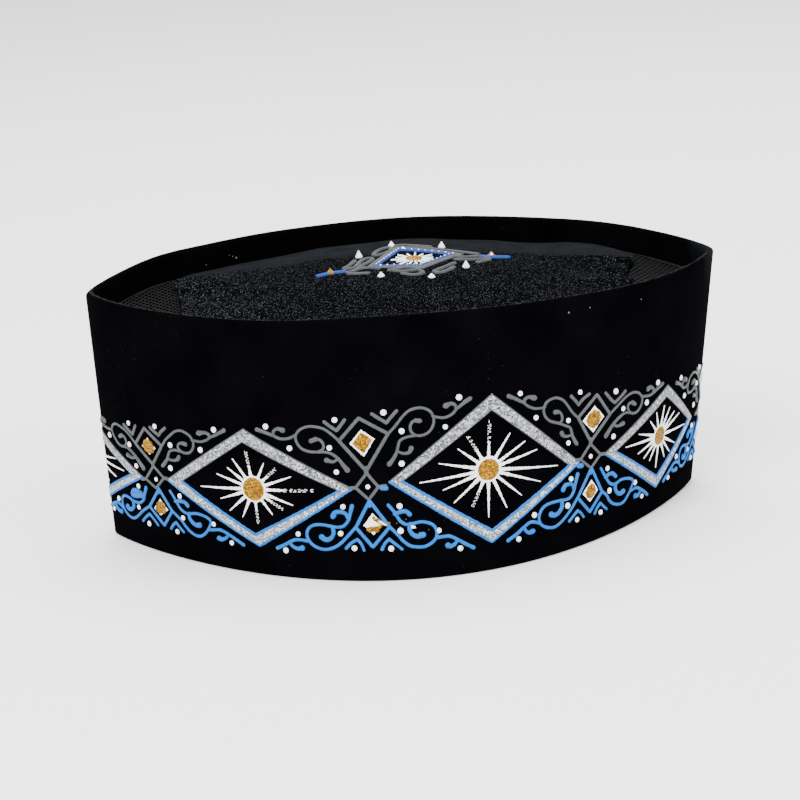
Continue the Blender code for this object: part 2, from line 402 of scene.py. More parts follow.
class Nodes:
    """A new material's node tree, with short calls for the nodes used here."""

    def __init__(self, name):
        self.material = bpy.data.materials.new(name)
        self.material.use_nodes = True
        self.tree = self.material.node_tree
        self.shader = self.tree.nodes["Principled BSDF"]
        self.place = self.tree.nodes.new("ShaderNodeTexCoord").outputs["Object"]

    def add(self, kind, inputs, **settings):
        """Adds a node, sets it and links or sets its inputs."""
        node = self.tree.nodes.new(kind)
        for key, value in settings.items():
            setattr(node, key, value)
        for key, value in inputs.items():
            if isinstance(value, bpy.types.NodeSocket):
                self.tree.links.new(value, node.inputs[key])
            else:
                node.inputs[key].default_value = value
        return node

    def noise(self, scale, detail=2.0):
        """Soft noise from 0 to 1. scale is in ups and downs for each metre."""
        inputs = {"Vector": self.place, "Scale": scale, "Detail": detail}
        return self.add("ShaderNodeTexNoise", inputs).outputs["Fac"]

    def cells(self, scale):
        """A field of cells: the node, with Distance and Color outputs."""
        return self.add("ShaderNodeTexVoronoi", {"Vector": self.place, "Scale": scale})

    def ramp(self, value, *stops):
        """Colours along a value, as (place, colour) stops."""
        node = self.add("ShaderNodeValToRGB", {"Fac": value})
        ramp = node.color_ramp
        while len(ramp.elements) < len(stops):
            ramp.elements.new(0.5)
        for element, (where, colour) in zip(ramp.elements, stops):
            element.position = where
            element.color = (*colour, 1.0)
        return node.outputs["Color"]

    def level(self, value, low, high, to_low=0.0, to_high=1.0):
        """Stretches a value's range from low..high to to_low..to_high."""
        inputs = {"Value": value, "From Min": low, "From Max": high, "To Min": to_low, "To Max": to_high}
        return self.add("ShaderNodeMapRange", inputs).outputs["Result"]

    def math(self, operation, first, second):
        """One sum of two values."""
        return self.add("ShaderNodeMath", {0: first, 1: second}, operation=operation).outputs[0]

    def blend(self, share, first, second):
        """Mixes two colours."""
        node = self.add("ShaderNodeMix", {"Factor": share}, data_type="RGBA")
        for key, value in ((6, first), (7, second)):
            if isinstance(value, bpy.types.NodeSocket):
                self.tree.links.new(value, node.inputs[key])
            else:
                node.inputs[key].default_value = (*value, 1.0)
        return node.outputs[2]

    def bump(self, height, distance, strength=1.0, normal=None):
        """Small relief from a height value, in metres."""
        inputs = {"Height": height, "Distance": distance, "Strength": strength}
        if normal:
            inputs["Normal"] = normal
        return self.add("ShaderNodeBump", inputs).outputs["Normal"]

    def finish(self, **sockets):
        """Sets or links the shader's sockets and gives the material."""
        for key, value in sockets.items():
            socket = self.shader.inputs[key.replace("_", " ")]
            if isinstance(value, bpy.types.NodeSocket):
                self.tree.links.new(value, socket)
            else:
                socket.default_value = value
        return self.material


def velvet_material():
    """Near-black pile with soft brushed patches, a few specks of dust and painted sheen on the right tip.
    """
    nodes = Nodes("black_velvet")
    nap = nodes.noise(55.0, 3.0)
    cloth = nodes.ramp(nap, (0.30, (0.0007, 0.0006, 0.0009)), (0.75, (0.0016, 0.0014, 0.0019)))
    dust = nodes.cells(330.0)
    speck = nodes.level(dust.outputs["Distance"], 0.05, 0.11, 1.0, 0.0)
    chosen = nodes.level(nodes.noise(45.0, 1.0), 0.56, 0.66)
    share = nodes.math("MULTIPLY", nodes.math("MULTIPLY", speck, chosen), 0.30)
    colour = nodes.blend(share, cloth, (0.030, 0.030, 0.030))
    place = nodes.add("ShaderNodeSeparateXYZ", {"Vector": nodes.place}).outputs
    # Painted sheen: the right tip's upper part is lighter, as where light grazes the pile
    tip = nodes.math("ADD", place["X"], nodes.math("MULTIPLY", nodes.noise(240.0, 2.0), SHEEN_TIP_RAGGED))
    low = nodes.level(place["Z"], SHEEN_TIP_BOTTOM, SHEEN_TIP_TOP)
    tip_sheen = nodes.math("MULTIPLY", nodes.level(tip, SHEEN_TIP_START, SHEEN_TIP_END), low)
    colour = nodes.blend(tip_sheen, colour, (0.0085, 0.0098, 0.0100))
    pile = nodes.noise(2600.0, 2.0)
    relief = nodes.bump(pile, 0.00025, 0.6)
    return nodes.finish(Base_Color=colour, Roughness=0.95, Specular_IOR_Level=0.0, Normal=relief,
                        Sheen_Weight=0.014, Sheen_Roughness=0.30, Sheen_Tint=(0.60, 0.70, 0.75, 1.0))


def crown_material():
    """Dark cloth with a dense fine sparkle of painted glints, and painted sheen as a smooth lighter strip
    along its back.
    """
    nodes = Nodes("crown_velvet")
    nap = nodes.noise(70.0, 3.0)
    cloth = nodes.ramp(nap, (0.30, (0.0007, 0.0008, 0.0011)), (0.75, (0.0014, 0.0015, 0.0019)))
    # Painted glints: light specks in the base colour, denser towards the left end
    cells = nodes.cells(SPARKLE_CELLS)
    core = nodes.level(cells.outputs["Distance"], 0.22, 0.45, 1.0, 0.0)
    pick = nodes.add("ShaderNodeSeparateColor", {"Color": cells.outputs["Color"]})
    bright = nodes.level(pick.outputs["Red"], 0.66, 1.0)
    place = nodes.add("ShaderNodeSeparateXYZ", {"Vector": nodes.place}).outputs
    denser = nodes.level(place["X"], SPARKLE_DENSE_X, SPARKLE_THIN_X, 1.0, SPARKLE_THIN_SHARE)
    share = nodes.math("MULTIPLY", nodes.math("MULTIPLY", core, bright), denser)
    colour = nodes.blend(share, cloth, (0.150, 0.160, 0.180))
    # Painted sheen: a smooth lighter strip along the back that hides most of the glints there
    lean = nodes.math("ADD", place["Y"], nodes.math("MULTIPLY", place["X"], SHEEN_STRIP_LEAN))
    ragged = nodes.math("ADD", lean, nodes.math("MULTIPLY", nodes.noise(160.0, 2.0), SHEEN_STRIP_RAGGED))
    sheen_mask = nodes.level(ragged, SHEEN_STRIP_START, SHEEN_STRIP_END)
    back_sheen = nodes.ramp(nodes.noise(120.0, 2.0), (0.30, (0.0058, 0.0064, 0.0074)),
                         (0.75, (0.0092, 0.0102, 0.0116)))
    colour = nodes.blend(nodes.math("MULTIPLY", sheen_mask, SHEEN_STRIP_SHARE), colour, back_sheen)
    relief = nodes.bump(pick.outputs["Green"], 0.00020, 0.4)
    return nodes.finish(Base_Color=colour, Roughness=0.9, Specular_IOR_Level=0.0, Normal=relief,
                        Sheen_Weight=0.008, Sheen_Roughness=0.30, Sheen_Tint=(0.80, 0.90, 1.0, 1.0))


def net_material():
    """Dark grey thread."""
    nodes = Nodes("black_net")
    twist = nodes.noise(900.0, 2.0)
    colour = nodes.ramp(twist, (0.3, (0.0028, 0.0031, 0.0034)), (0.75, (0.0085, 0.0092, 0.0098)))
    return nodes.finish(Base_Color=colour, Roughness=0.7, Specular_IOR_Level=0.1,
                        Normal=nodes.bump(twist, 0.0001, 0.5))


def paint_material(name, dark, light, roughness=0.42):
    """Thick satin paint with slight brush relief and unevenness."""
    nodes = Nodes(name)
    patch = nodes.noise(420.0, 3.0)
    colour = nodes.ramp(patch, (0.30, dark), (0.70, light))
    relief = nodes.bump(nodes.noise(1600.0, 3.0), 0.00012, 0.7)
    return nodes.finish(Base_Color=colour, Roughness=roughness, Specular_IOR_Level=0.15, Normal=relief)


def glitter_material(name, dark, middle, light):
    """Paint full of flakes: each cell has its own brightness and its own tilt."""
    nodes = Nodes(name)
    cells = nodes.cells(GLITTER_CELLS)
    pick = nodes.add("ShaderNodeSeparateColor", {"Color": cells.outputs["Color"]})
    colour = nodes.ramp(pick.outputs["Red"], (0.0, dark), (0.5, middle), (1.0, light))
    relief = nodes.bump(pick.outputs["Green"], 0.00020, 0.7)
    relief = nodes.bump(nodes.noise(700.0, 2.0), 0.0003, 0.5, relief)
    return nodes.finish(Base_Color=colour, Roughness=0.55, Specular_IOR_Level=0.12, Normal=relief)


def fuzz_material():
    """Pale ends of the pile along the rim: partly real fuzz, partly painted sheen on the rim's fold."""
    nodes = Nodes("pile_fuzz_sheen")
    return nodes.finish(Base_Color=(0.046, 0.043, 0.050, 1.0), Roughness=0.9, Specular_IOR_Level=0.05)


def lint_material():
    """Pale grey fluff."""
    nodes = Nodes("lint")
    return nodes.finish(Base_Color=(0.115, 0.110, 0.110, 1.0), Roughness=0.95, Specular_IOR_Level=0.0)


VELVET = velvet_material()
CROWN_CLOTH = crown_material()
NET_THREAD = net_material()
PILE_FUZZ_SHEEN = fuzz_material()
LINT = lint_material()
GREY_PAINT = paint_material("grey_paint", (0.047, 0.053, 0.056), (0.063, 0.070, 0.074))
BLUE_PAINT = paint_material("blue_paint", (0.000, 0.088, 0.330), (0.000, 0.118, 0.430), 0.50)
# The motif's grey and blue are the border's paints made darker: painted shade for the crown's top, which
# takes more light
SHADED_MOTIF_GREY_PAINT = paint_material("motif_grey_paint_shaded", (0.024, 0.026, 0.028), (0.036, 0.040, 0.043))
SHADED_MOTIF_BLUE_PAINT = paint_material("motif_blue_paint_shaded", (0.000, 0.026, 0.170), (0.000, 0.040, 0.240), 0.50)
WHITE_PAINT = paint_material("white_paint", (0.86, 0.87, 0.87), (0.93, 0.94, 0.94), 0.5)
GOLD_GLITTER = glitter_material(
    "gold_glitter", (0.060, 0.020, 0.000), (0.185, 0.078, 0.000), (0.460, 0.235, 0.004))
SILVER_GLITTER = glitter_material(
    "silver_glitter", (0.040, 0.042, 0.044), (0.165, 0.172, 0.178), (0.560, 0.575, 0.585))
PALE_GLITTER = glitter_material(
    "pale_glitter", (0.045, 0.060, 0.075), (0.200, 0.220, 0.235), (0.620, 0.640, 0.645))


# Cloth

def wall_profile(top):
    """The wall's section as (height, inset), once round its outside and inside."""
    points = []
    for step in range(EDGE_STEPS + 1):
        turn = math.pi / 2 * step / EDGE_STEPS
        points.append((HEM_OUTER_ROUND * (1 - math.cos(turn)), HEM_OUTER_ROUND * (1 - math.sin(turn))))
    radius = WALL_THICKNESS / 2
    shoulder = top - radius
    for row in range(1, WALL_ROWS):
        points.append((mix(HEM_OUTER_ROUND, shoulder, row / WALL_ROWS), 0.0))
    for step in range(FOLD_STEPS + 1):
        turn = math.pi * step / FOLD_STEPS
        points.append((top + radius * (math.sin(turn) - 1), radius * (1 - math.cos(turn))))
    for row in range(WALL_ROWS - 1, 0, -1):
        points.append((mix(HEM_INNER_ROUND, shoulder, row / WALL_ROWS), WALL_THICKNESS))
    for step in range(EDGE_STEPS + 1):
        turn = math.pi / 2 * step / EDGE_STEPS
        inset = WALL_THICKNESS - HEM_INNER_ROUND * (1 - math.cos(turn))
        points.append((HEM_INNER_ROUND * (1 - math.sin(turn)), inset))
    return points


def make_wall():
    """The velvet band, folded over at the rim."""
    shape = Shape()
    rings = []
    count = 0
    for station in range(WALL_STATIONS):
        angle = 2 * math.pi * station / WALL_STATIONS
        profile = wall_profile(rim_top(angle))
        count = len(profile)
        rings.append(shape.ring([wall_point(angle, z, inset) for z, inset in profile]))
    for station in range(WALL_STATIONS):
        shape.bridge(rings[station], rings[(station + 1) % WALL_STATIONS], count)
    piece = add_piece("velvet_wall", shape, VELVET)
    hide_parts("side_wall")


def make_crown():
    """The padded crown panel."""
    shape = bmesh.new()
    bmesh.ops.create_grid(shape, x_segments=CROWN_COLUMNS, y_segments=CROWN_ROWS, size=0.5)
    for vert in shape.verts:
        vert.co = crown_point(vert.co.x + 0.5, vert.co.y + 0.5)
    lower = bmesh.ops.extrude_face_region(shape, geom=shape.faces[:])
    for item in lower["geom"]:
        if isinstance(item, bmesh.types.BMVert):
            item.co.z -= CROWN_THICKNESS
    piece = add_mesh("sparkling_crown", shape, CROWN_CLOTH)
    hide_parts("crown_panel")


# Net: zigzag rows of thread along the cap that touch where they turn, and a thread along the
# front and back edges
NET_MESH_LENGTH = 0.0024
NET_MESH_WIDTH = 0.0038
NET_THREAD_RADIUS = 0.00019
NET_EDGE_RADIUS = 0.00026
NET_WOBBLE = 0.00022
NET_STEP = 0.0005
NET_EDGE_STEPS = 90
NET_EDGES = (0.01, 0.99)
NET_EDGE_END = 0.985
NET_SIDES = 6


def net_level(x, y):
    """Height of the net over a point of the plan, or None outside it."""
    front, back = roof_edges(x, SEAM_GAP)
    if not front < y < back:
        return None
    across = 2 * (y - front) / (back - front) - 1
    side = 1 if x > 0 else -1
    if side * (x - crown_end(side, across)) < SEAM_GAP:
        return None
    reach = (abs(x) - RIM_LENGTH / 2 + NET_LENGTH) / NET_LENGTH
    sag = NET_SAG * 4 * max(0.0, reach * (1 - reach)) * (1 - across * across)
    return roof_seat(x, y) + NET_THICKNESS / 2 - sag


def lay_thread(shape, points, radius):
    """A round thread through points in space."""
    count = len(points)
    lay_bead(shape, points, [Vector((0, 0, 1))] * count, [radius] * count, radius, radius, sides=NET_SIDES)


def make_net(name, node, side):
    """An open net from the crown's end to the wall's tip."""
    shape = Shape()
    tip = net_point(side, 1.0, 0.5)[0]
    start = side * (RIM_LENGTH / 2 - NET_LENGTH - CROWN_CORNER)
    columns = int(abs(tip - start) / (NET_MESH_LENGTH / 2)) + 1
    rows = int(RIM_WIDTH / NET_MESH_WIDTH) + 1
    for row in range(-rows, rows + 1):
        run = []
        for column in range(columns):
            turn = 1 if (row + column) % 2 else -1
            x = start + side * column * NET_MESH_LENGTH / 2 + NET_WOBBLE * (DICE.random() - 0.5)
            y = (row + 0.5 * turn) * NET_MESH_WIDTH / 2 + NET_WOBBLE * (DICE.random() - 0.5)
            run.append((x, y))
        points = []
        for place in straight_path(run, NET_STEP) + [None]:
            z = net_level(*place) if place else None
            if z is not None:
                points.append(Vector((place[0], place[1], z)))
                continue
            if len(points) > 2:
                lay_thread(shape, points, NET_THREAD_RADIUS)
            points = []
    for edge in NET_EDGES:
        shares = [min(k / NET_EDGE_STEPS, NET_EDGE_END) for k in range(NET_EDGE_STEPS)]
        lay_thread(shape, [Vector(net_point(side, share, edge)) for share in shares], NET_EDGE_RADIUS)
    piece = add_piece(name, shape, NET_THREAD)
    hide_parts(node)


# Pale pile along the rim, partly real fuzz and partly painted sheen on the fold: fibres, how many stand
# near and far, and the bare stretch at the right, in radians. They stand round the rim's fold, in degrees
# from its outer side.
FUZZ_LENGTH = 0.00046
FUZZ_RADIUS = 0.00005
FUZZ_NEAR_COUNT = 1400
FUZZ_FAR_COUNT = 600
FUZZ_GAP_AT_RIGHT = 0.20
FUZZ_NEAR_TURN = (105, 14)
FUZZ_FAR_TURN = (60, 120)
FUZZ_LEAN = (0.7, 0.5)


def make_fuzz():
    """Short pale fibres that stand on the rim's fold, most of them on the near side; their paleness is
    partly painted sheen.
    """
    shape = Shape()
    radius = WALL_THICKNESS / 2
    for k in range(FUZZ_NEAR_COUNT + FUZZ_FAR_COUNT):
        near = k < FUZZ_NEAR_COUNT
        angle = FUZZ_GAP_AT_RIGHT + (math.pi - FUZZ_GAP_AT_RIGHT) * DICE.random()
        if near:
            angle = 2 * math.pi - angle
        turn = math.radians(DICE.gauss(*FUZZ_NEAR_TURN) if near else DICE.uniform(*FUZZ_FAR_TURN))
        top = rim_top(angle)
        foot = Vector(wall_point(angle, top + radius * (math.sin(turn) - 1), radius * (1 - math.cos(turn))))
        length = FUZZ_LENGTH * (0.5 + DICE.random())
        lean = Vector((*(DICE.uniform(-most, most) for most in FUZZ_LEAN), 1.0)).normalized()
        side = lean.orthogonal().normalized()
        other = lean.cross(side)
        ring = shape.ring([foot + (side * math.cos(a) + other * math.sin(a) - lean) * FUZZ_RADIUS
                           for a in turns(3)])
        tip = shape.ring([foot + lean * length])
        for n in range(3):
            shape.faces.append((ring + n, ring + (n + 1) % 3, tip))
        shape.faces.append((ring + 2, ring + 1, ring))
    add_piece("rim_fuzz", shape, PILE_FUZZ_SHEEN)


# Specks of lint: on the outside in front as (along, up, radius) of the chart, on the inside
# at the back as (angle, up, radius)
LINT_OUTSIDE = ((194.2, 86.0, 0.36), (202.9, 86.5, 0.24), (227.6, 85.5, 0.26))
LINT_INSIDE = ((2.114, 87.5, 0.42), (2.128, 88.3, 0.25), (2.142, 89.0, 0.20), (2.243, 87.0, 0.22))
LINT_HEIGHT = 0.15


def inside_back(angle, up):
    """The point of the wall's inside at an angle round the cap, and the normal there."""
    here = Vector(wall_point(angle, up * MM, WALL_THICKNESS))
    beyond = Vector(wall_point(angle, up * MM, 0.0))
    return here, (here - beyond).normalized()


def make_lint():
    """A few pale specks that cling to the pile."""
    shape = Shape()
    for along, up, radius in LINT_OUTSIDE:
        dot(shape, on_wall, along, up, radius, LINT_HEIGHT, segments=8)
    for angle, up, radius in LINT_INSIDE:
        dot(shape, inside_back, angle, up, radius, LINT_HEIGHT, segments=8)
    add_piece("lint", shape, LINT)


# Paint

# A painted line: how deep it sinks in, its width as a share of the charted one, how late a
# swelling end swells, and its height as a share of its width
BEAD_SINK = 0.00012
LINE_SHARE = 0.82
SWELL_BEND = 3
LINE_RISE = 0.30
LINE_WOBBLE = 0.14

# A line's round end, as turns in degrees from the line outwards
END_TURNS = (62, 35, 8)

# A drop's rings, as turns in degrees from its foot to its top, and its height for its radius
DROP_TURNS = (-20, 15, 40, 62, 80)
DROP_RISE = 0.55
DROP_SEGMENTS = 14

# A filled area's rings: share of its reach, share of its height
PAD_RINGS = ((1.0, -0.3), (1.0, 0.25), (0.93, 0.8), (0.78, 1.0), (0.45, 1.0), (0.15, 1.0))

# A band's section: share of its width, share of its height
BAND_SECTION = ((0.0, -0.3), (0.0, 0.4), (0.12, 0.9), (0.35, 1.0), (0.65, 1.0), (0.88, 0.9), (1.0, 0.4),
                (1.0, -0.3))

# A drawn up peak's rings: share of its height, share of its radius
PEAK_RINGS = ((-0.1, 0.9), (0.0, 1.0), (0.14, 1.02), (0.30, 0.88), (0.5, 0.62), (0.75, 0.36), (0.97, 0.12))
PEAK_LEAN = 0.5


def turns(count):
    """The angles of so many even steps round a circle."""
    return [2 * math.pi * k / count for k in range(count)]


def oval(middle, reach_along, reach_up, count):
    """Places of the chart along an oval."""
    along, up = middle
    return [(along + reach_along * math.cos(a), up + reach_up * math.sin(a)) for a in turns(count)]


def smooth_path(points, step):
    """Points along a smooth curve through the given ones, about a step apart."""
    points = [np.array(p, float) for p in points]
    if len(points) == 2:
        count = max(2, int(math.ceil(np.linalg.norm(points[1] - points[0]) / step)) + 1)
        return [tuple(mix(points[0], points[1], k / (count - 1))) for k in range(count)]
    padded = [2 * points[0] - points[1]] + points + [2 * points[-1] - points[-2]]
    result = []
    for k in range(len(points) - 1):
        a, b, c, d = padded[k:k + 4]
        count = max(1, int(math.ceil(np.linalg.norm(c - b) / step)))
        for n in range(count):
            t = n / count
            result.append(tuple(0.5 * (2 * b + (c - a) * t + (2 * a - 5 * b + 4 * c - d) * t ** 2
                                       + (3 * b - a - 3 * c + d) * t ** 3)))
    result.append(tuple(points[-1]))
    return result


def straight_path(points, step):
    """Points along the straight runs between the given ones, about a step apart."""
    result = []
    for first, second in zip(points, points[1:]):
        a, b = np.array(first, float), np.array(second, float)
        count = max(1, int(math.ceil(np.linalg.norm(b - a) / step)))
        result += [tuple(mix(a, b, k / count)) for k in range(count)]
    return result + [tuple(points[-1])]


def lay_bead(shape, points, normals, halves, height, sink, sides=BEAD_SIDES):
    """A raised line with round ends, along points in space, half as wide as halves say."""
    last = len(points) - 1
    tangents = []
    for k in range(last + 1):
        ahead = points[min(k + 1, last)] - points[max(k - 1, 0)]
        tangents.append(ahead.normalized())

    def round_end(k, outwards):
        """The sections of one end, from the line outwards."""
        sections = []
        for turn in END_TURNS:
            reach = outwards * math.cos(math.radians(turn))
            half = halves[k] * math.sin(math.radians(turn))
            sections.append((points[k] + tangents[k] * halves[k] * reach, k, half))
        return sections

    sections = round_end(0, -1)[::-1]
    sections += [(points[k], k, halves[k]) for k in range(last + 1)]
    sections += round_end(last, 1)
    rings = []
    for centre, k, half in sections:
        side = normals[k].cross(tangents[k]).normalized()
        low = half / halves[k]
        ring = []
        for turn in turns(sides):
            up = math.sin(turn)
            lift = up * height * math.sqrt(low) if up > 0 else up * sink
            ring.append(centre + side * (half * math.cos(turn)) + normals[k] * lift)
        rings.append(shape.ring(ring))
    shape.skin(rings, sides)


def stroke(shape, surface, path, width, end_width=None, height=None, straight=False, wobble=0.0):
    """A painted line along a charted path. Widths and height are in millimetres."""
    end_width = width if end_width is None else end_width
    places = (straight_path if straight else smooth_path)(path, PATH_STEP)
    points, normals, halves = [], [], []
    for k, place in enumerate(places):
        share = k / max(1, len(places) - 1)
        if end_width > width:
            share = share ** SWELL_BEND
        point, normal = surface(*place)
        points.append(point)
        normals.append(normal)
        halves.append(mix(width, end_width, share) / 2 * MM * (1 + wobble * (DICE.random() - 0.5)))
    rise = (height if height else LINE_RISE * max(width, end_width)) * MM
    lay_bead(shape, points, normals, halves, rise, BEAD_SINK)


def round_form(shape, centre, axis, normal, rings, segments):
    """A round drop: rings as (lift along the axis, reach across the normal), both in metres."""
    side = normal.orthogonal().normalized()
    other = normal.cross(side)
    starts = []
    for lift, reach in rings:
        starts.append(shape.ring([centre + axis * lift + (side * math.cos(a) + other * math.sin(a)) * reach
                                  for a in turns(segments)]))
    shape.skin(starts, segments)


def dot(shape, surface, along, up, radius, height=None, segments=DROP_SEGMENTS):
    """A round drop of paint."""
    height = radius * DROP_RISE if height is None else height
    centre, normal = surface(along, up)
    rings = []
    for degrees in DROP_TURNS:
        turn = math.radians(degrees)
        rings.append((math.sin(turn) * height * MM, math.cos(turn) * radius * MM))
    round_form(shape, centre, normal, normal, rings, segments)


def cone(shape, surface, along, up, radius, height):
    """A drop of paint drawn up into a peak."""
    centre, normal = surface(along, up)
    peak = normal.lerp(Vector((0, 0, 1)), PEAK_LEAN).normalized()
    rings = [(rise * height * MM, reach * radius * MM) for rise, reach in PEAK_RINGS]
    round_form(shape, centre, peak, normal, rings, DROP_SEGMENTS)


def pad(shape, surface, corners, height, step=0.6, rough=0.0):
    """A raised filled area inside charted corners."""
    edge = straight_path([*corners, corners[0]], step)[:-1]
    middle = np.mean(np.array(corners, float), axis=0)
    edge = [np.array(p) + rough * np.array((DICE.random() - 0.5, DICE.random() - 0.5)) for p in edge]
    rings = []
    for share, rise in PAD_RINGS:
        ring = []
        for place in edge:
            point, normal = surface(*mix(middle, place, share))
            ring.append(point + normal * rise * height * MM)
        rings.append(shape.ring(ring))
    shape.skin(rings, len(edge))


def band(shape, surface, outer, inner, height, step=0.7):
    """A raised band between two charted lines with the same number of corners."""
    rings = []
    for k in range(len(outer) - 1):
        length = math.dist(outer[k], outer[k + 1])
        count = max(1, int(math.ceil(length / step)))
        last = k == len(outer) - 2
        for n in range(count + (1 if last else 0)):
            t = n / count
            far = mix(np.array(outer[k]), np.array(outer[k + 1]), t)
            near = mix(np.array(inner[k]), np.array(inner[k + 1]), t)
            ring = []
            for share, rise in BAND_SECTION:
                point, normal = surface(*mix(far, near, share))
                ring.append(point + normal * rise * height * MM)
            rings.append(shape.ring(ring))
    shape.skin(rings, len(BAND_SECTION))


# The lozenges, charted in millimetres: corners of the outer and inner outline from the
# left one over the top, the sun's middle, disc and ring, the tips of its rays from the top
# one leftwards, and which of them a dry brush made. The last lozenge is the one at the left.
LOZENGES = (
    {"outer": ((40.6, 29.1), (78.4, 53.1), (117.6, 32.6), (82.0, 9.9)),
     "inner": ((50.0, 30.2), (77.6, 47.6), (112.0, 31.9), (80.0, 15.1)),
     "sun": (80.8, 31.2), "disc": 4.4, "ring": 5.05, "dry": (0, 8, 10, 12, 14),
     "rays": ((78.7, 44.9), (73.1, 41.4), (70.8, 37.9), (66.0, 35.1), (58.2, 29.5), (66.8, 26.2),
              (70.3, 22.2), (75.6, 20.5), (81.8, 18.5), (87.6, 22.5), (92.1, 24.4), (95.6, 26.4),
              (103.5, 31.9), (95.4, 36.6), (90.0, 39.2), (85.5, 40.9))},
    {"outer": ((129.2, 34.4), (165.5, 62.0), (200.4, 31.4), (164.8, 9.3)),
     "inner": ((134.6, 34.4), (165.4, 55.6), (195.0, 31.4), (165.0, 14.6)),
     "sun": (163.9, 35.5), "disc": 3.95, "ring": 4.8, "dry": (0, 1, 7),
     "rays": ((164.6, 52.7), (156.8, 48.2), (153.5, 43.8), (146.8, 39.5), (140.1, 33.4), (148.0, 30.2),
              (151.6, 25.4), (158.1, 23.3), (163.8, 18.9), (170.5, 21.1), (176.1, 24.5), (183.4, 28.0),
              (190.4, 32.3), (182.0, 39.6), (177.4, 43.3), (171.8, 47.0))},
    {"outer": ((211.3, 31.7), (248.7, 49.0), (275.0, 29.0), (245.3, 9.3)),
     "inner": ((218.3, 31.3), (248.3, 44.0), (270.0, 29.3), (245.3, 14.7)),
     "sun": (245.2, 30.0), "disc": 3.7, "ring": 4.4, "dry": (),
     "rays": ((247.3, 41.0), (241.9, 39.7), (237.9, 37.5), (231.0, 34.3), (223.5, 31.3), (231.2, 26.8),
              (235.2, 24.0), (239.3, 22.0), (244.1, 18.0), (250.3, 20.3), (254.3, 21.3), (258.3, 23.5),
              (266.7, 28.3), (260.3, 34.5), (255.7, 36.5), (251.7, 39.2))},
    {"outer": ((-49.0, 28.2), (-10.5, 45.2), (28.3, 27.7), (-10.5, 9.2)),
     "inner": ((-40.0, 28.2), (-10.5, 40.9), (19.5, 27.4), (-10.5, 13.6)),
     "sun": (-10.5, 28.6), "disc": 3.7, "ring": 4.6, "dry": (),
     "rays": ((-10.5, 38.8), (-4.5, 37.0), (1.0, 34.8), (10.0, 31.2), (15.0, 27.6), (8.5, 24.0),
              (1.5, 20.8), (-4.5, 18.2), (-10.5, 15.4), (-16.5, 18.2), (-22.5, 20.8), (-29.5, 24.0),
              (-36.0, 28.2), (-30.5, 31.6), (-22.0, 34.8), (-16.5, 37.0))},
)

# A lozenge's glitter bands: where one reaches between the outlines, and the lines along it
# as (place between the outlines, width), with their height and unevenness
GLITTER_RISE = 0.28
SILVER_BAND = {"span": (0.04, 0.96), "lines": ((0.08, 0.5), (0.93, 0.4)), "rise": 0.31, "wobble": 0.3}
PALE_BAND = {"span": (0.06, 0.94), "lines": ((0.13, 0.95), (0.86, 1.15)), "rise": 0.36, "wobble": 0.35}

# A sun's heights, and how far inside its ring the plate ends and the rays begin
PLATE_RISE = 0.18
DISC_RISE = 0.30
SUN_STEP = 1.2
PLATE_INSET = 0.2
RAY_INSET = 0.5
RAY_WIDTH = 1.18
RAY_TIP_WIDTH = 0.36
RAY_RISE = 0.24
RAY_WOBBLE = 0.5

# A dry brush's ray: its whole part, then streaks in lanes, with lengths and gaps as shares
DRY_WHOLE = {"share": 0.38, "width": 1.2, "end": 0.7}
DRY_LANES = (-0.45, -0.15, 0.15, 0.45)
DRY_START = 0.36
DRY_START_SPREAD = 0.05
DRY_END = 0.97
STREAK = {"width": 0.20, "end": 0.14, "rise": 0.10}
STREAK_SHORTEST = 0.02
STREAK_SPREAD = 0.04
GAP_SHORTEST = 0.035
GAP_SPREAD = 0.09

# The unseen back: where its repeat starts, the length of one repeat, the heights of its
# lozenges and connectors, and a lozenge's sizes from its middle
BACK_START = 287.5
BACK_PITCH = 78.2
BACK_LOZENGE_UP = 30.8
BACK_CONNECTOR_UP = 30.6
BACK_STRETCH = (0.97, 0.9)
BACK_OUTER = {"length": 34.0, "rise": 22.5, "fall": 21.5}
BACK_INNER = {"length": 27.8, "rise": 17.0, "fall": 16.2}
BACK_DISC = 3.9
BACK_RING = 4.9
BACK_RAYS = 16
BACK_RAY_REACH = (23.5, 14.5)
BACK_RAY_SHORTEST = 0.94
BACK_RAY_SPREAD = 0.12

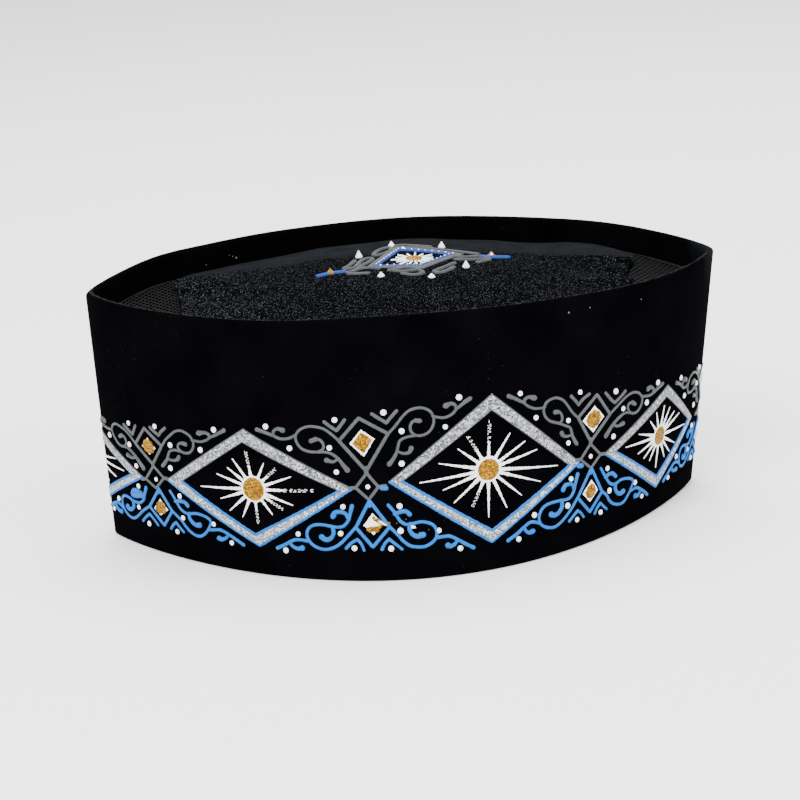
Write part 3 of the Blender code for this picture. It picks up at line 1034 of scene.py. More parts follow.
# The connector between two lozenges, charted where it stands in the middle of the front.
# Each straight or curved line has its width, its end's width and its path.
UNIT_MIDDLE = (122.4, 33.1)
UPPER_STRAIGHT = (
    (1.5, 1.5, ((122.1, 38.6), (113.3, 49.35), (120.35, 57.0), (130.06, 51.1), (122.1, 38.6))),
    (1.3, 1.3, ((118.2, 32.9), (122.2, 37.8), (126.0, 32.9), (122.5, 28.6), (118.2, 32.9))),
    (1.6, 1.6, ((116.0, 32.7), (118.4, 32.9))),
    (1.6, 1.6, ((125.8, 32.9), (128.4, 33.1))),
    (1.9, 1.9, ((122.1, 37.6), (122.1, 39.6))),
)
UPPER_CURVED = (
    (1.2, 1.3, ((113.3, 49.4), (110.1, 52.4), (107.4, 54.0), (103.3, 54.6), (100.1, 53.6), (98.3, 51.6),
                (98.3, 49.3), (99.8, 47.0), (102.1, 45.9), (105.1, 45.6), (107.3, 46.3), (107.9, 47.9),
                (107.0, 49.6), (105.2, 50.2), (103.9, 49.7))),
    (2.0, 2.0, ((105.3, 50.1), (103.6, 49.5))),
    (1.2, 1.9, ((105.1, 45.6), (108.6, 45.5), (110.7, 44.8), (112.7, 43.2), (114.2, 41.1),
                (115.7, 39.1))),
    (1.3, 1.9, ((112.7, 43.1), (110.9, 42.1), (108.7, 42.7))),
    (1.3, 1.6, ((98.4, 51.6), (96.8, 50.8), (95.1, 50.2), (92.4, 50.1), (89.8, 51.1), (86.8, 52.1),
                (83.9, 52.9))),
    (1.4, 2.0, ((89.9, 51.2), (90.3, 52.8), (91.8, 53.6), (93.6, 53.1))),
    (1.2, 1.3, ((130.1, 51.1), (132.7, 53.8), (135.1, 56.7), (137.4, 58.6), (140.4, 59.3),
                (143.0, 58.7), (144.8, 57.2), (145.5, 54.9), (145.1, 52.6), (143.6, 50.6),
                (141.2, 49.7), (138.9, 50.1), (137.7, 51.5), (137.6, 53.4), (138.6, 54.8),
                (140.2, 55.0))),
    (1.9, 2.0, ((139.4, 55.0), (140.8, 54.8))),
    (1.2, 1.7, ((139.6, 49.9), (136.2, 49.5), (133.9, 48.4), (133.1, 46.1), (132.6, 44.3),
                (131.2, 42.0), (130.0, 40.6))),
    (1.2, 1.9, ((132.8, 44.9), (134.8, 44.0), (136.8, 44.2), (137.6, 45.6))),
    (1.2, 1.6, ((145.1, 56.1), (146.5, 55.6), (149.2, 55.2), (151.8, 56.2), (153.4, 57.9),
                (154.6, 58.7), (156.2, 59.9), (158.0, 60.9))),
    (1.4, 2.1, ((153.1, 57.6), (152.9, 59.0), (151.6, 59.8), (149.6, 59.2))),
    (1.5, 1.5, ((108.6, 56.1), (110.6, 54.4), (112.7, 53.0))),
    (1.5, 1.5, ((112.7, 53.0), (113.9, 54.4), (115.6, 56.6))),
    (1.5, 1.5, ((124.9, 58.2), (127.4, 56.4), (129.6, 54.9))),
    (1.5, 1.5, ((129.6, 54.9), (131.2, 56.7), (133.2, 58.8))),
)
LOWER_STRAIGHT = (
    (1.5, 1.5, ((122.7, 28.2), (117.6, 19.0), (123.2, 12.0), (129.2, 18.8), (122.7, 28.2))),
    (2.0, 1.6, ((122.7, 27.4), (122.7, 26.4))),
)
LOWER_CURVED = (
    (1.4, 1.4, ((117.4, 18.9), (114.5, 15.8), (111.8, 13.2), (109.2, 11.7), (106.2, 11.1),
                (103.3, 11.8), (101.2, 13.4), (100.1, 15.8), (100.7, 18.2), (102.7, 19.6),
                (105.6, 19.9), (108.8, 19.4))),
    (1.8, 2.1, ((109.5, 19.1), (109.7, 16.9), (108.6, 15.1), (106.9, 14.6), (105.4, 15.5))),
    (1.4, 1.6, ((108.6, 19.5), (110.9, 19.1), (113.3, 19.5), (115.1, 21.4), (115.7, 23.4),
                (116.6, 26.5))),
    (1.7, 2.0, ((115.1, 22.2), (114.3, 23.8), (112.6, 24.5), (110.7, 24.3), (109.8, 22.9))),
    (1.5, 1.7, ((100.5, 13.8), (98.0, 14.1), (95.6, 14.0), (93.6, 13.1), (91.2, 11.7), (88.7, 10.5))),
    (1.5, 2.0, ((93.6, 12.8), (94.5, 11.7), (96.2, 10.9), (98.1, 11.2))),
    (1.4, 1.4, ((129.3, 18.8), (131.8, 16.1), (133.6, 13.8), (135.9, 12.0), (138.6, 11.3),
                (141.5, 11.4), (144.2, 12.9), (145.3, 14.9), (145.0, 17.3), (143.4, 19.0),
                (140.4, 19.9), (137.4, 19.6), (135.0, 19.4), (133.1, 20.5), (132.1, 22.0),
                (130.9, 24.1), (129.0, 26.5))),
    (1.8, 2.1, ((136.2, 19.5), (136.0, 17.6), (136.9, 15.9), (138.6, 15.0), (140.6, 15.4))),
    (1.8, 2.0, ((131.2, 23.2), (133.3, 23.9), (135.0, 23.9), (136.2, 22.8))),
    (1.5, 1.7, ((145.1, 14.0), (147.4, 14.1), (149.8, 14.0), (152.4, 12.6), (155.1, 10.8),
                (158.1, 9.0))),
    (1.5, 2.1, ((152.5, 12.5), (151.6, 11.2), (150.1, 10.5), (149.1, 10.9))),
    (1.4, 1.5, ((117.9, 14.8), (115.6, 13.4), (113.9, 11.7))),
    (1.4, 1.2, ((117.9, 14.8), (119.2, 13.2), (120.1, 10.9))),
    (1.4, 1.5, ((128.9, 14.6), (127.4, 13.2), (126.3, 11.2))),
    (1.4, 1.2, ((128.9, 14.6), (131.2, 12.6), (133.2, 10.9))),
)
UPPER_DOTS = ((109.9, 47.0), (111.9, 38.5), (95.7, 46.8), (87.3, 54.2), (112.2, 56.7), (128.8, 58.5),
              (134.6, 51.7), (134.2, 40.5), (149.3, 52.0), (154.2, 61.7))
LOWER_DOTS = ((113.5, 26.3), (112.2, 16.9), (96.9, 16.2), (91.9, 9.9), (132.9, 25.9), (132.9, 17.3),
              (146.1, 16.4), (153.4, 9.4), (116.8, 11.7), (129.4, 11.3))
DOT_RADIUS = 1.04
DOT_SMALLEST = 0.88
DOT_SPREAD = 0.2
MIDDLE_DOT_RADIUS = 0.85

# A line whose end is charted wider than its start by more than this keeps its full end
SWELL_LEAST = 0.2

# The gems: a white plate with gold on it. Their heights and how ragged their edges are.
UPPER_GEM = ((116.9, 48.2), (120.9, 53.0), (125.5, 49.6), (121.6, 43.6))
LOWER_GEM = ((120.3, 19.6), (123.5, 23.8), (126.6, 20.2), (123.7, 16.3))
GEM_PLATE = {"height": 0.16, "rough": 0.22}
GEM_GOLD = {"height": 0.26, "rough": 0.20}

# How far the gold of a carried gem reaches towards the corners and the sides
CARRIED_GOLD = (0.74, 0.86)

# Marks of the connector's two halves: where each is charted, then where it stands in the
# left, the right and the far connector, or None where that one has no such mark
CHARTED, LEFT, RIGHT, FAR = range(4)
UPPER_MARKS = (
    ((122.1, 38.6), (34.3, 33.9), (205.0, 37.8), (287.0, 33.5)),
    ((113.3, 49.35), (25.2, 40.0), (213.8, 45.8), None),
    ((120.35, 57.0), (31.5, 47.0), (207.3, 54.5), (286.0, 46.5)),
    ((130.06, 51.1), (40.3, 41.6), (199.0, 47.7), (295.0, 43.0)),
    ((118.2, 32.9), (29.2, 27.4), (210.0, 32.0), None),
    ((126.0, 32.9), (39.8, 29.6), (200.5, 32.2), None),
    ((122.5, 28.6), (34.7, 24.8), (205.6, 28.0), (287.5, 25.0)),
    ((109.9, 47.0), (21.2, 39.0), (221.0, 46.7), (277.2, 41.5)),
    ((111.9, 38.5), (24.2, 31.4), (216.2, 37.2), (275.8, 33.3)),
    ((95.7, 46.8), (7.5, 39.8), (234.6, 45.6), (264.0, 40.3)),
    ((112.2, 56.7), (22.1, 47.3), (216.5, 53.8), (279.0, 47.3)),
    ((128.8, 58.5), (37.5, 48.6), (199.5, 56.9), None),
    ((134.6, 51.7), (44.8, 42.8), (194.7, 47.5), None),
    ((134.2, 40.5), (43.8, 34.0), (194.9, 39.5), (298.5, 35.0)),
    ((149.3, 52.0), (59.3, 43.0), (181.7, 50.9), None),
    ((154.2, 61.7), (66.2, 51.2), (175.7, 60.3), (317.5, 52.0)),
    ((112.7, 53.0), (24.0, 43.3), (216.3, 49.7), None),
    ((129.6, 54.9), (39.2, 45.6), (199.0, 52.5), None),
    ((108.6, 56.1), (19.0, 46.0), (221.5, 52.8), None),
    ((115.6, 56.6), (26.3, 47.0), (211.3, 54.3), None),
    ((124.9, 58.2), (34.8, 47.8), (203.8, 55.3), None),
    ((133.2, 58.8), (43.0, 48.8), (195.8, 56.0), None),
    ((103.3, 54.6), (13.4, 45.2), (226.3, 51.3), None),
    ((98.3, 50.5), (10.2, 41.6), (231.3, 47.8), (267.0, 43.8)),
    ((102.1, 45.9), (14.5, 37.4), (228.5, 43.3), None),
    ((115.7, 39.1), (28.6, 31.2), (212.3, 38.3), None),
    ((108.7, 42.7), (19.3, 34.5), (221.0, 40.8), None),
    ((83.9, 52.9), (-5.0, 45.0), (244.5, 50.2), (255.5, 47.6)),
    ((140.4, 59.3), (50.5, 49.0), (189.5, 56.6), None),
    ((145.3, 54.0), (56.2, 44.5), None, None),
    ((141.2, 49.7), (52.0, 40.8), (189.0, 48.0), None),
    ((130.0, 40.6), (39.8, 34.3), (198.5, 38.5), None),
    ((137.6, 45.6), (48.8, 39.0), (192.0, 43.6), None),
    ((149.2, 55.2), (60.0, 46.2), (181.0, 54.3), None),
    ((149.6, 59.2), (59.2, 49.2), (181.0, 58.0), None),
    ((158.0, 60.9), (70.5, 51.5), (171.5, 60.0), (321.0, 51.0)),
    ((140.0, 55.0), (52.0, 44.2), (189.9, 51.5), None),
    ((103.9, 49.7), (15.6, 41.2), (227.0, 47.0), None),
    ((87.3, 54.2), None, (241.2, 51.5), (259.3, 48.6)),
    ((89.8, 51.1), None, (238.5, 48.3), None),
    ((93.6, 53.1), None, (234.8, 50.6), None),
    ((145.3, 54.5), None, (184.8, 52.5), None),
)
LOWER_MARKS = (
    ((122.7, 28.2), (36.3, 24.8), (205.8, 28.0), (287.3, 25.3)),
    ((117.6, 19.0), (29.8, 16.9), (199.7, 18.5), None),
    ((123.2, 12.0), (37.2, 11.0), (205.8, 11.8), (287.5, 11.0)),
    ((129.2, 18.8), (42.3, 17.5), (211.5, 17.8), None),
    ((113.5, 26.3), (24.0, 23.6), (196.4, 26.1), (276.0, 25.0)),
    ((112.2, 16.9), (22.8, 15.2), (195.2, 16.7), (273.5, 16.3)),
    ((96.9, 16.2), (8.8, 15.6), (181.2, 16.5), (261.5, 17.0)),
    ((91.9, 9.9), (3.5, 10.5), (175.0, 9.1), (255.3, 10.6)),
    ((132.9, 25.9), (47.2, 24.0), (213.8, 25.9), (298.0, 23.5)),
    ((132.9, 17.3), (47.9, 15.9), (215.5, 17.2), None),
    ((146.1, 16.4), (62.8, 16.0), (230.8, 16.1), (309.0, 15.5)),
    ((153.4, 9.4), (70.0, 10.1), (235.6, 9.3), None),
    ((116.8, 11.7), (28.3, 9.8), (199.8, 10.4), None),
    ((129.4, 11.3), (44.1, 9.9), (211.3, 10.1), None),
    ((106.2, 11.1), (17.5, 9.9), (189.5, 10.2), (269.0, 11.0)),
    ((100.1, 15.8), (11.3, 14.3), (183.0, 15.0), (264.5, 15.5)),
    ((105.6, 19.9), (16.0, 17.8), (188.5, 19.3), None),
    ((116.6, 26.5), (28.8, 24.0), (199.3, 27.2), None),
    ((109.8, 22.9), (19.4, 19.8), (193.0, 23.0), None),
    ((106.9, 14.6), (16.2, 13.1), (189.5, 14.6), None),
    ((88.7, 10.5), (0.0, 11.0), (170.8, 9.3), (251.2, 10.3)),
    ((138.6, 11.3), (53.5, 10.2), (221.5, 10.3), None),
    ((145.3, 14.9), (60.0, 14.3), (227.7, 14.5), None),
    ((140.4, 19.9), (55.0, 18.7), (222.0, 19.6), None),
    ((129.0, 26.5), (42.3, 25.2), (210.5, 26.7), None),
    ((136.2, 22.8), (50.8, 21.0), (218.5, 21.8), None),
    ((138.6, 15.0), (54.5, 14.3), (221.5, 14.3), None),
    ((158.1, 9.0), (75.0, 10.0), (239.3, 8.8), (321.0, 9.5)),
    ((149.1, 10.9), (64.5, 11.0), (231.0, 10.8), None),
    ((149.8, 14.0), (65.5, 14.2), (231.5, 13.7), None),
    ((117.9, 14.8), (29.0, 14.0), (199.7, 13.7), None),
    ((113.9, 11.7), (24.6, 10.5), (196.0, 10.8), None),
    ((120.1, 10.9), (33.8, 10.5), (202.7, 10.8), None),
    ((128.9, 14.6), (44.0, 13.5), (210.8, 13.7), None),
    ((126.3, 11.2), (41.0, 10.8), (208.2, 10.6), None),
    ((133.2, 10.9), (47.5, 10.5), (214.3, 10.6), None),
    ((98.1, 11.2), None, (180.5, 10.8), None),
)

# Where the connectors stand, their column of the marks, and gems with places of their own:
# corners, and how far the gold reaches towards the corners and the sides
CONNECTORS = (
    {"middle": (35.3, 28.3), "column": LEFT, "gems": (
        (((29.0, 40.0), (32.6, 43.6), (36.6, 40.2), (33.1, 37.2)), 0.88, 1.25),
        (((32.4, 16.8), (36.3, 21.1), (40.1, 17.4), (35.7, 14.6)), 0.82, 1.15))},
    {"middle": (122.4, 33.1), "column": CHARTED, "gems": (
        (UPPER_GEM, 0.84, 0.86), (LOWER_GEM, 0.0, 0.0))},
    {"middle": (205.2, 32.4), "column": RIGHT, "gems": (
        (((201.0, 46.1), (206.3, 50.6), (211.1, 45.9), (206.0, 41.0)), 0.76, 0.98),
        (((202.0, 19.3), (206.0, 23.7), (209.4, 19.1), (205.6, 15.5)), 0.74, 0.96))},
    {"middle": (287.5, 28.6), "column": FAR, "gems": None},
)
CARRY_SOFTNESS = 2.0


def bend_sizes(places, others):
    """How strongly each place bends at the others, for a thin sheet."""
    gaps = np.linalg.norm(places[:, None, :] - others[None, :, :], axis=2) ** 2
    return 0.5 * gaps * np.log(gaps + 1e-9)


def carrier(pairs):
    """A smooth map of the chart that carries each pair's first place to its second."""
    first = np.array([a for a, _ in pairs])
    second = np.array([b for _, b in pairs])
    count = len(pairs)
    flat = np.column_stack([np.ones(count), first])
    system = np.zeros((count + 3, count + 3))
    system[:count, :count] = bend_sizes(first, first) + CARRY_SOFTNESS * np.eye(count)
    system[:count, count:] = flat
    system[count:, :count] = flat.T
    weights = np.linalg.solve(system, np.vstack([second, np.zeros((3, 2))]))

    def carry(place):
        here = np.array([place], float)
        bends = bend_sizes(here, first)
        base = np.array([[1.0, here[0][0], here[0][1]]])
        return tuple((np.hstack([bends, base]) @ weights)[0])
    return carry


def connector_carrier(connector, marks):
    """The map that sets a half of the charted connector in a connector's place."""
    column = connector["column"]
    if column == CHARTED:
        return tuple
    if column is not None:
        return carrier([(row[CHARTED], row[column]) for row in marks if row[column]])
    middle = connector["middle"]

    def carry(place):
        return tuple(middle[n] + (place[n] - UNIT_MIDDLE[n]) * BACK_STRETCH[n] for n in (0, 1))
    return carry


def back_lozenge(middle):
    """A lozenge of the unseen back, with a regular star of rays."""
    along, up = middle
    rays = []
    for k in range(BACK_RAYS):
        turn = math.pi / 2 + 2 * math.pi * k / BACK_RAYS
        slant = abs(math.cos(turn)) / BACK_RAY_REACH[0] + abs(math.sin(turn)) / BACK_RAY_REACH[1]
        reach = 1 / slant * (BACK_RAY_SHORTEST + BACK_RAY_SPREAD * DICE.random())
        rays.append((along + reach * math.cos(turn), up + reach * math.sin(turn)))
    outlines = [((along - line["length"], up), (along, up + line["rise"]), (along + line["length"], up),
                 (along, up - line["fall"])) for line in (BACK_OUTER, BACK_INNER)]
    return {"outer": outlines[0], "inner": outlines[1], "sun": middle, "disc": BACK_DISC, "ring": BACK_RING,
            "rays": rays, "dry": ()}


def between(outer, inner, share):
    """Corners that lie a share of the way from the outer ones to the inner ones."""
    return tuple(tuple(mix(np.array(a), np.array(b), share)) for a, b in zip(outer, inner))


def paint_band(outer, inner, looks, glitter, paint):
    """One glitter band between two outlines and the lines along its edges."""
    near, far = looks["span"]
    band(glitter, on_wall, between(outer, inner, near), between(outer, inner, far), GLITTER_RISE)
    for share, width in looks["lines"]:
        stroke(paint, on_wall, between(outer, inner, share), width, straight=True, height=looks["rise"],
               wobble=looks["wobble"])


def paint_lozenge(lozenge, silver, pale, grey, blue):
    """The silver band over a lozenge's top and the pale one under it."""
    outer, inner = lozenge["outer"], lozenge["inner"]
    paint_band(outer[:3], inner[:3], SILVER_BAND, silver, grey)
    paint_band((*outer[2:], outer[0]), (*inner[2:], inner[0]), PALE_BAND, pale, blue)


def paint_sun(lozenge, white, gold):
    """The gold disc, its white plate and its rays."""
    middle, disc, ring = lozenge["sun"], lozenge["disc"], lozenge["ring"]
    along, up = middle
    plate = ring - PLATE_INSET
    pad(white, on_wall, oval(middle, plate, plate, 36), PLATE_RISE, step=SUN_STEP, rough=0.30)
    pad(gold, on_wall, oval(middle, disc, disc, 32), DISC_RISE, step=SUN_STEP, rough=0.22)
    for k, tip in enumerate(lozenge["rays"]):
        turn = math.atan2(tip[1] - up, tip[0] - along)
        foot = (along + (ring - RAY_INSET) * math.cos(turn), up + (ring - RAY_INSET) * math.sin(turn))
        if k in lozenge["dry"]:
            dry_ray(white, foot, tip)
        else:
            stroke(white, on_wall, (foot, tip), RAY_WIDTH, RAY_TIP_WIDTH, RAY_RISE, True, RAY_WOBBLE)


def dry_ray(white, foot, tip):
    """A ray from a nearly dry brush: whole near the sun, then broken streaks."""
    foot, tip = np.array(foot), np.array(tip)
    split = mix(foot, tip, DRY_WHOLE["share"])
    whole = (tuple(foot), tuple(split))
    stroke(white, on_wall, whole, DRY_WHOLE["width"], DRY_WHOLE["end"], RAY_RISE, True, RAY_WOBBLE)
    run = (tip - foot) / np.linalg.norm(tip - foot)
    across = np.array((-run[1], run[0]))
    for lane in DRY_LANES:
        at = DRY_START + DRY_START_SPREAD * DICE.random()
        while at < DRY_END:
            end = min(1.0, at + STREAK_SHORTEST + STREAK_SPREAD * DICE.random())
            streak = [tuple(mix(foot, tip, share) + across * lane) for share in (at, end)]
            stroke(white, on_wall, streak, STREAK["width"], STREAK["end"], STREAK["rise"], True, RAY_WOBBLE)
            at = end + GAP_SHORTEST + GAP_SPREAD * DICE.random()


def gem_pads(corners, white, gold, to_corner, to_side):
    """A white diamond with a gold one on it, whose corners and sides stop short."""
    middle = np.mean(np.array(corners), axis=0)
    pad(white, on_wall, corners, **GEM_PLATE)
    if to_corner == 0:
        return
    ring = []
    for k, corner in enumerate(corners):
        after = np.array(corners[(k + 1) % 4])
        ring.append(tuple(mix(middle, np.array(corner), to_corner)))
        ring.append(tuple(mix(middle, (np.array(corner) + after) / 2, to_side)))
    pad(gold, on_wall, ring, **GEM_GOLD)


def paint_connector(connector, grey, blue, white, gold):
    """Boxes, scrolls, chevrons, gems and dots between two lozenges."""
    gems = connector["gems"]
    for straight, curved, dots, gem, marks, paint in (
            (UPPER_STRAIGHT, UPPER_CURVED, UPPER_DOTS, UPPER_GEM, UPPER_MARKS, grey),
            (LOWER_STRAIGHT, LOWER_CURVED, LOWER_DOTS, LOWER_GEM, LOWER_MARKS, blue)):
        carry = connector_carrier(connector, marks)
        for lines, is_straight in ((straight, True), (curved, False)):
            for width, end, path in lines:
                end_share = 1.0 if end > width + SWELL_LEAST else LINE_SHARE
                route = [carry(place) for place in path]
                stroke(paint, on_wall, route, width * LINE_SHARE, end * end_share, straight=is_straight,
                       wobble=LINE_WOBBLE)
        for place in dots:
            dot(white, on_wall, *carry(place), DOT_RADIUS * (DOT_SMALLEST + DOT_SPREAD * DICE.random()))
        if gems is None:
            gem_pads(tuple(carry(place) for place in gem), white, gold, *CARRIED_GOLD)
    for corners, to_corner, to_side in gems or ():
        gem_pads(corners, white, gold, to_corner, to_side)
    dot(white, on_wall, *connector["middle"], MIDDLE_DOT_RADIUS)


# Places where the paint was smeared or dripped in front: the paint, the path in millimetres
# of the chart, the width at its start and end, the height and the unevenness
ACCIDENTS = (
    ("gold", ((122.3, 18.3), (124.6, 18.3)), 2.5, 2.3, 0.34, 0.4),
    ("gold", ((123.9, 22.2), (124.2, 21.7)), 1.5, 1.2, 0.34, 0.4),
    ("gold", ((125.0, 21.3), (127.0, 20.2), (128.9, 20.0)), 1.7, 1.3, 0.34, 0.4),
    ("gold", ((124.6, 18.6), (126.3, 19.3)), 1.5, 1.1, 0.34, 0.4),
    ("white", ((125.8, 20.9), (128.0, 19.7)), 1.0, 0.7, 0.40, 0.4),
    ("white", ((136.2, 18.6), (137.8, 18.2)), 1.5, 0.9, 0.40, 0.4),
    ("blue", ((19.6, 19.4), (22.5, 19.9), (25.0, 20.4)), 2.6, 2.4, 0.45, 0.3),
    ("blue", ((127.3, 32.6), (128.6, 32.3)), 1.9, 1.7, 0.5, 0.3),
    ("blue", ((199.6, 30.2), (201.0, 29.9)), 1.9, 1.7, 0.5, 0.3),
)
GOLD_SPECKS = ((131.7, 20.0), (132.8, 18.6), (142.6, 17.0), (134.9, 21.2), (139.4, 16.2))
SPECK = {"radius": 0.25, "height": 0.2, "segments": 8}


def make_border():
    """The painted border, all round the wall."""
    grey, blue, white, gold, silver, pale = (Shape() for _ in range(6))
    lozenges = list(LOZENGES)
    for k in range(3):
        lozenges.append(back_lozenge((BACK_START + (k + 0.5) * BACK_PITCH, BACK_LOZENGE_UP)))
    connectors = list(CONNECTORS)
    for k in (1, 2, 3):
        middle = (BACK_START + k * BACK_PITCH, BACK_CONNECTOR_UP)
        connectors.append({"middle": middle, "column": None, "gems": None})
    for lozenge in lozenges:
        paint_lozenge(lozenge, silver, pale, grey, blue)
        paint_sun(lozenge, white, gold)
    for connector in connectors:
        paint_connector(connector, grey, blue, white, gold)
    paints = {"gold": gold, "white": white, "blue": blue}
    for paint, path, width, end, height, wobble in ACCIDENTS:
        stroke(paints[paint], on_wall, path, width, end, height, wobble=wobble)
    for along, up in GOLD_SPECKS:
        dot(gold, on_wall, along, up, **SPECK)
    for name, shape, material in (
            ("border_grey_lines", grey, GREY_PAINT), ("border_blue_lines", blue, BLUE_PAINT),
            ("border_white_drops", white, WHITE_PAINT), ("border_gold_fills", gold, GOLD_GLITTER),
            ("border_silver_bands", silver, SILVER_GLITTER), ("border_pale_bands", pale, PALE_GLITTER)):
        add_piece(name, shape, material, PAINT_SMOOTH_ANGLE)


# The crown's motif, charted over the plan in millimetres
MOTIF_LOZENGE = ((-9.8, 4.8), (1.6, 27.1), (20.5, 16.7), (6.8, 1.0))
MOTIF_RIM = ((-13.4, 4.0), (1.4, 34.4), (24.8, 16.8), (7.4, -3.2))
MOTIF_RIM_HEIGHT = 0.45
MOTIF_GREY = (
    ((-20.6, 8.0), (-18.7, 10.4), (-15.8, 17.2)),
    ((-20.5, 6.1), (-16.9, 7.1), (-13.9, 15.0), (-12.0, 18.2), (-9.7, 18.5), (-9.6, 15.2), (-13.4, 9.3),
     (-17.4, 2.2), (-20.1, 1.4)),
    ((-19.8, -0.7), (-16.2, -2.0), (-12.8, -3.1)),
    ((-18.0, 2.5), (-13.0, 4.5), (-8.5, 1.5)),
    ((-7.8, 22.0), (-7.6, 26.1), (-4.8, 32.1), (-1.0, 34.2), (-1.1, 28.4), (-4.2, 24.2), (-7.3, 21.7)),
    ((0.8, 35.7), (4.2, 35.8), (9.4, 32.8), (14.0, 30.0)),
    ((6.0, 31.0), (12.0, 27.5), (17.5, 24.5), (21.3, 22.5), (25.9, 19.8), (30.1, 17.1)),
    ((21.2, 13.5), (24.3, 12.2), (29.9, 13.3), (33.0, 8.8), (28.0, 3.8)),
    ((20.6, 8.8), (25.4, 8.1), (32.6, 9.6)),
    ((19.3, 3.2), (16.1, -0.9), (10.7, -7.4), (12.3, -9.1), (15.3, -6.9), (18.2, -2.8)),
    ((-5.0, -2.7), (-2.7, -1.5), (2.7, -1.0), (6.2, -6.7), (5.6, -9.6), (2.6, -10.4), (-0.8, -8.2)),
    ((-4.9, -2.1), (-1.0, -5.2), (4.3, -4.8)),
)
MOTIF_GREY_LINE = {"width": 1.9, "height": 0.7, "wobble": 0.2}
MOTIF_BLUE = (((-30.7, 1.3), (-27.0, 2.5), (-23.7, 2.9), (-21.0, 2.6)),
              ((30.6, 12.8), (34.5, 11.7), (40.4, 11.4)))
MOTIF_BLUE_LINE = {"width": 2.0, "end_width": 1.8, "height": 0.9, "wobble": 0.2}
MOTIF_BLUE_EDGE = {"width": 1.7, "height": 0.75, "wobble": 0.25}

# The motif's sun: the reaches of its disc and of its rays' feet along and up, and its rays
MOTIF_SUN = (5.6, 11.2)
MOTIF_DISC = (3.2, 3.6)
MOTIF_DISC_PAD = {"height": 0.7, "step": 1.0, "rough": 0.2}
MOTIF_RAY_FOOT = (3.0, 3.4)
MOTIF_RAYS = 15
MOTIF_RAY_TURN = 0.3
MOTIF_LONG_RAY = 8.3
MOTIF_SHORT_RAY = 7.0
MOTIF_RAY_STRETCH = 1.15
MOTIF_RAY_LINE = {"width": 0.85, "end_width": 0.55, "height": 0.45, "wobble": 0.3}

# The white dots along the lozenge: how far apart, their smallest radius and spread, height
MOTIF_BEADS = {"step": 2.7, "smallest": 0.36, "spread": 0.16, "height": 0.95}

# Drops as (paint, place, radius, height, segments), and peaks as (paint, place, radius, height)
MOTIF_DROPS = (("white", (3.4, 27.5), 0.75, 1.2, 14), ("blue", (-26.0, 3.4), 0.45, 2.3, 8),
               ("white", (34.5, 13.4), 0.8, 1.5, 10))
MOTIF_PEAKS = (("gold", (-26.0, 3.1), 1.6, 1.9), ("gold", (34.5, 14.0), 1.6, 1.9),
               ("white", (-13.6, 22.8), 1.28, 2.7), ("white", (0.0, 36.1), 1.28, 2.2),
               ("white", (18.1, 29.5), 1.28, 2.3), ("white", (22.9, -2.5), 1.28, 2.5),
               ("white", (-8.7, -8.4), 1.28, 1.6), ("white", (8.9, -14.0), 1.28, 1.4))


def make_motif():
    """The painted star in the middle of the crown."""
    grey, blue, white, gold = (Shape() for _ in range(4))
    lozenge = (*MOTIF_LOZENGE, MOTIF_LOZENGE[0])
    band(grey, on_crown, (*MOTIF_RIM, MOTIF_RIM[0]), lozenge, MOTIF_RIM_HEIGHT)
    for path in MOTIF_GREY:
        stroke(grey, on_crown, path, **MOTIF_GREY_LINE)
    stroke(blue, on_crown, lozenge, straight=True, **MOTIF_BLUE_EDGE)
    for path in MOTIF_BLUE:
        stroke(blue, on_crown, path, **MOTIF_BLUE_LINE)
    pad(gold, on_crown, oval(MOTIF_SUN, *MOTIF_DISC, 24), **MOTIF_DISC_PAD)
    along, up = MOTIF_SUN
    for k in range(MOTIF_RAYS):
        turn = 2 * math.pi * (k + MOTIF_RAY_TURN) / MOTIF_RAYS
        reach = MOTIF_LONG_RAY if k % 2 else MOTIF_SHORT_RAY
        foot = (along + MOTIF_RAY_FOOT[0] * math.cos(turn), up + MOTIF_RAY_FOOT[1] * math.sin(turn))
        tip = (along + reach * math.cos(turn), up + reach * MOTIF_RAY_STRETCH * math.sin(turn))
        stroke(white, on_crown, (foot, tip), straight=True, **MOTIF_RAY_LINE)
    for place in straight_path(lozenge, MOTIF_BEADS["step"])[1:-1]:
        radius = MOTIF_BEADS["smallest"] + MOTIF_BEADS["spread"] * DICE.random()
        dot(white, on_crown, *place, radius, MOTIF_BEADS["height"], segments=8)
    paints = {"gold": gold, "white": white, "blue": blue}
    for paint, place, radius, height, segments in MOTIF_DROPS:
        dot(paints[paint], on_crown, *place, radius, height, segments)
    for paint, place, radius, height in MOTIF_PEAKS:
        cone(paints[paint], on_crown, *place, radius, height)
    for name, shape, material in (
            ("motif_grey_lines", grey, SHADED_MOTIF_GREY_PAINT), ("motif_blue_lines", blue, SHADED_MOTIF_BLUE_PAINT),
            ("motif_white_drops", white, WHITE_PAINT), ("motif_gold_fills", gold, GOLD_GLITTER)):
        add_piece(name, shape, material, PAINT_SMOOTH_ANGLE)


# Floor, light and camera: each light's name, place, size and power
FLOOR_SIZE = 6.0
FLOOR_DROP = 0.0002
WORLD_STRENGTH = 1.5
LIGHTS = (("key", (-0.7, -1.1, 1.3), 0.9, 48.0), ("fill", (1.2, -0.7, 0.9), 1.0, 19.0),
          ("top", (0.1, 0.6, 1.5), 1.0, 34.0))
LIGHT_TARGET = (0, 0, 0.05)


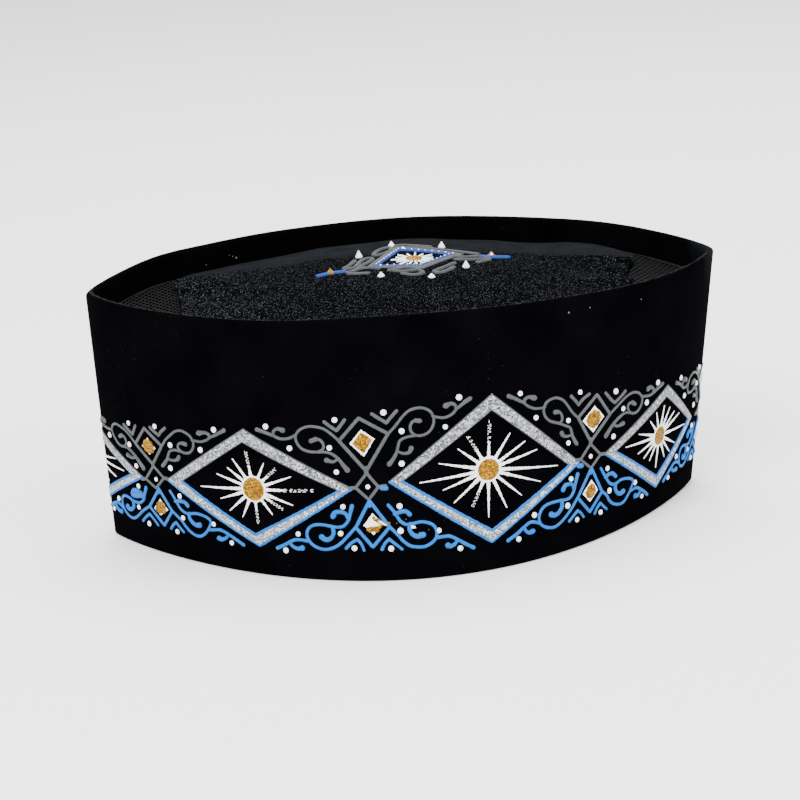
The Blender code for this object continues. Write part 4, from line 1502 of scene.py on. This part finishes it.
def make_stage():
    """A plain pale floor and soft studio light."""
    bpy.ops.mesh.primitive_plane_add(size=FLOOR_SIZE, location=(0, 0, -FLOOR_DROP))
    floor = bpy.context.object
    floor.name = "floor"
    nodes = Nodes("pale_floor")
    floor.data.materials.append(nodes.finish(Base_Color=(0.93, 0.93, 0.93, 1.0), Roughness=0.9,
                                             Specular_IOR_Level=0.1))
    world = bpy.data.worlds.new("studio")
    bpy.context.scene.world = world
    world.use_nodes = True
    world.node_tree.nodes["Background"].inputs["Color"].default_value = (1.0, 1.0, 1.0, 1.0)
    world.node_tree.nodes["Background"].inputs["Strength"].default_value = WORLD_STRENGTH
    for name, place, size, power in LIGHTS:
        light = bpy.data.lights.new(name, "AREA")
        light.size = size
        light.energy = power
        lamp = bpy.data.objects.new(name, light)
        lamp.location = place
        aim = Vector(LIGHT_TARGET) - lamp.location
        lamp.rotation_euler = aim.to_track_quat("-Z", "Y").to_euler()
        bpy.context.scene.collection.objects.link(lamp)


def make_camera():
    """A pinhole camera with the photo's angle, roll and framing."""
    back = Vector((math.sin(VIEW_AZIMUTH) * math.cos(VIEW_ELEVATION),
                   -math.cos(VIEW_AZIMUTH) * math.cos(VIEW_ELEVATION), math.sin(VIEW_ELEVATION)))
    level_right = (-back).cross(Vector((0, 0, 1))).normalized()
    level_up = level_right.cross(-back)
    right = math.cos(VIEW_ROLL) * level_right + math.sin(VIEW_ROLL) * level_up
    up = math.cos(VIEW_ROLL) * level_up - math.sin(VIEW_ROLL) * level_right
    camera = bpy.data.cameras.new("camera")
    camera.sensor_width = SENSOR_WIDTH
    camera.lens = LENS
    camera.clip_start = 0.01
    holder = bpy.data.objects.new("camera", camera)
    turned = Matrix((right, up, back)).transposed().to_4x4()
    holder.matrix_world = Matrix.Translation(Vector(VIEW_TARGET) + back * VIEW_DISTANCE) @ turned
    bpy.context.scene.collection.objects.link(holder)
    bpy.context.scene.camera = holder


make_camera()
make_wall()
make_crown()
make_net("open_net_left", "net_left", -1)
make_net("open_net_right", "net_right", 1)
make_fuzz()
make_lint()
make_border()
make_motif()
make_stage()
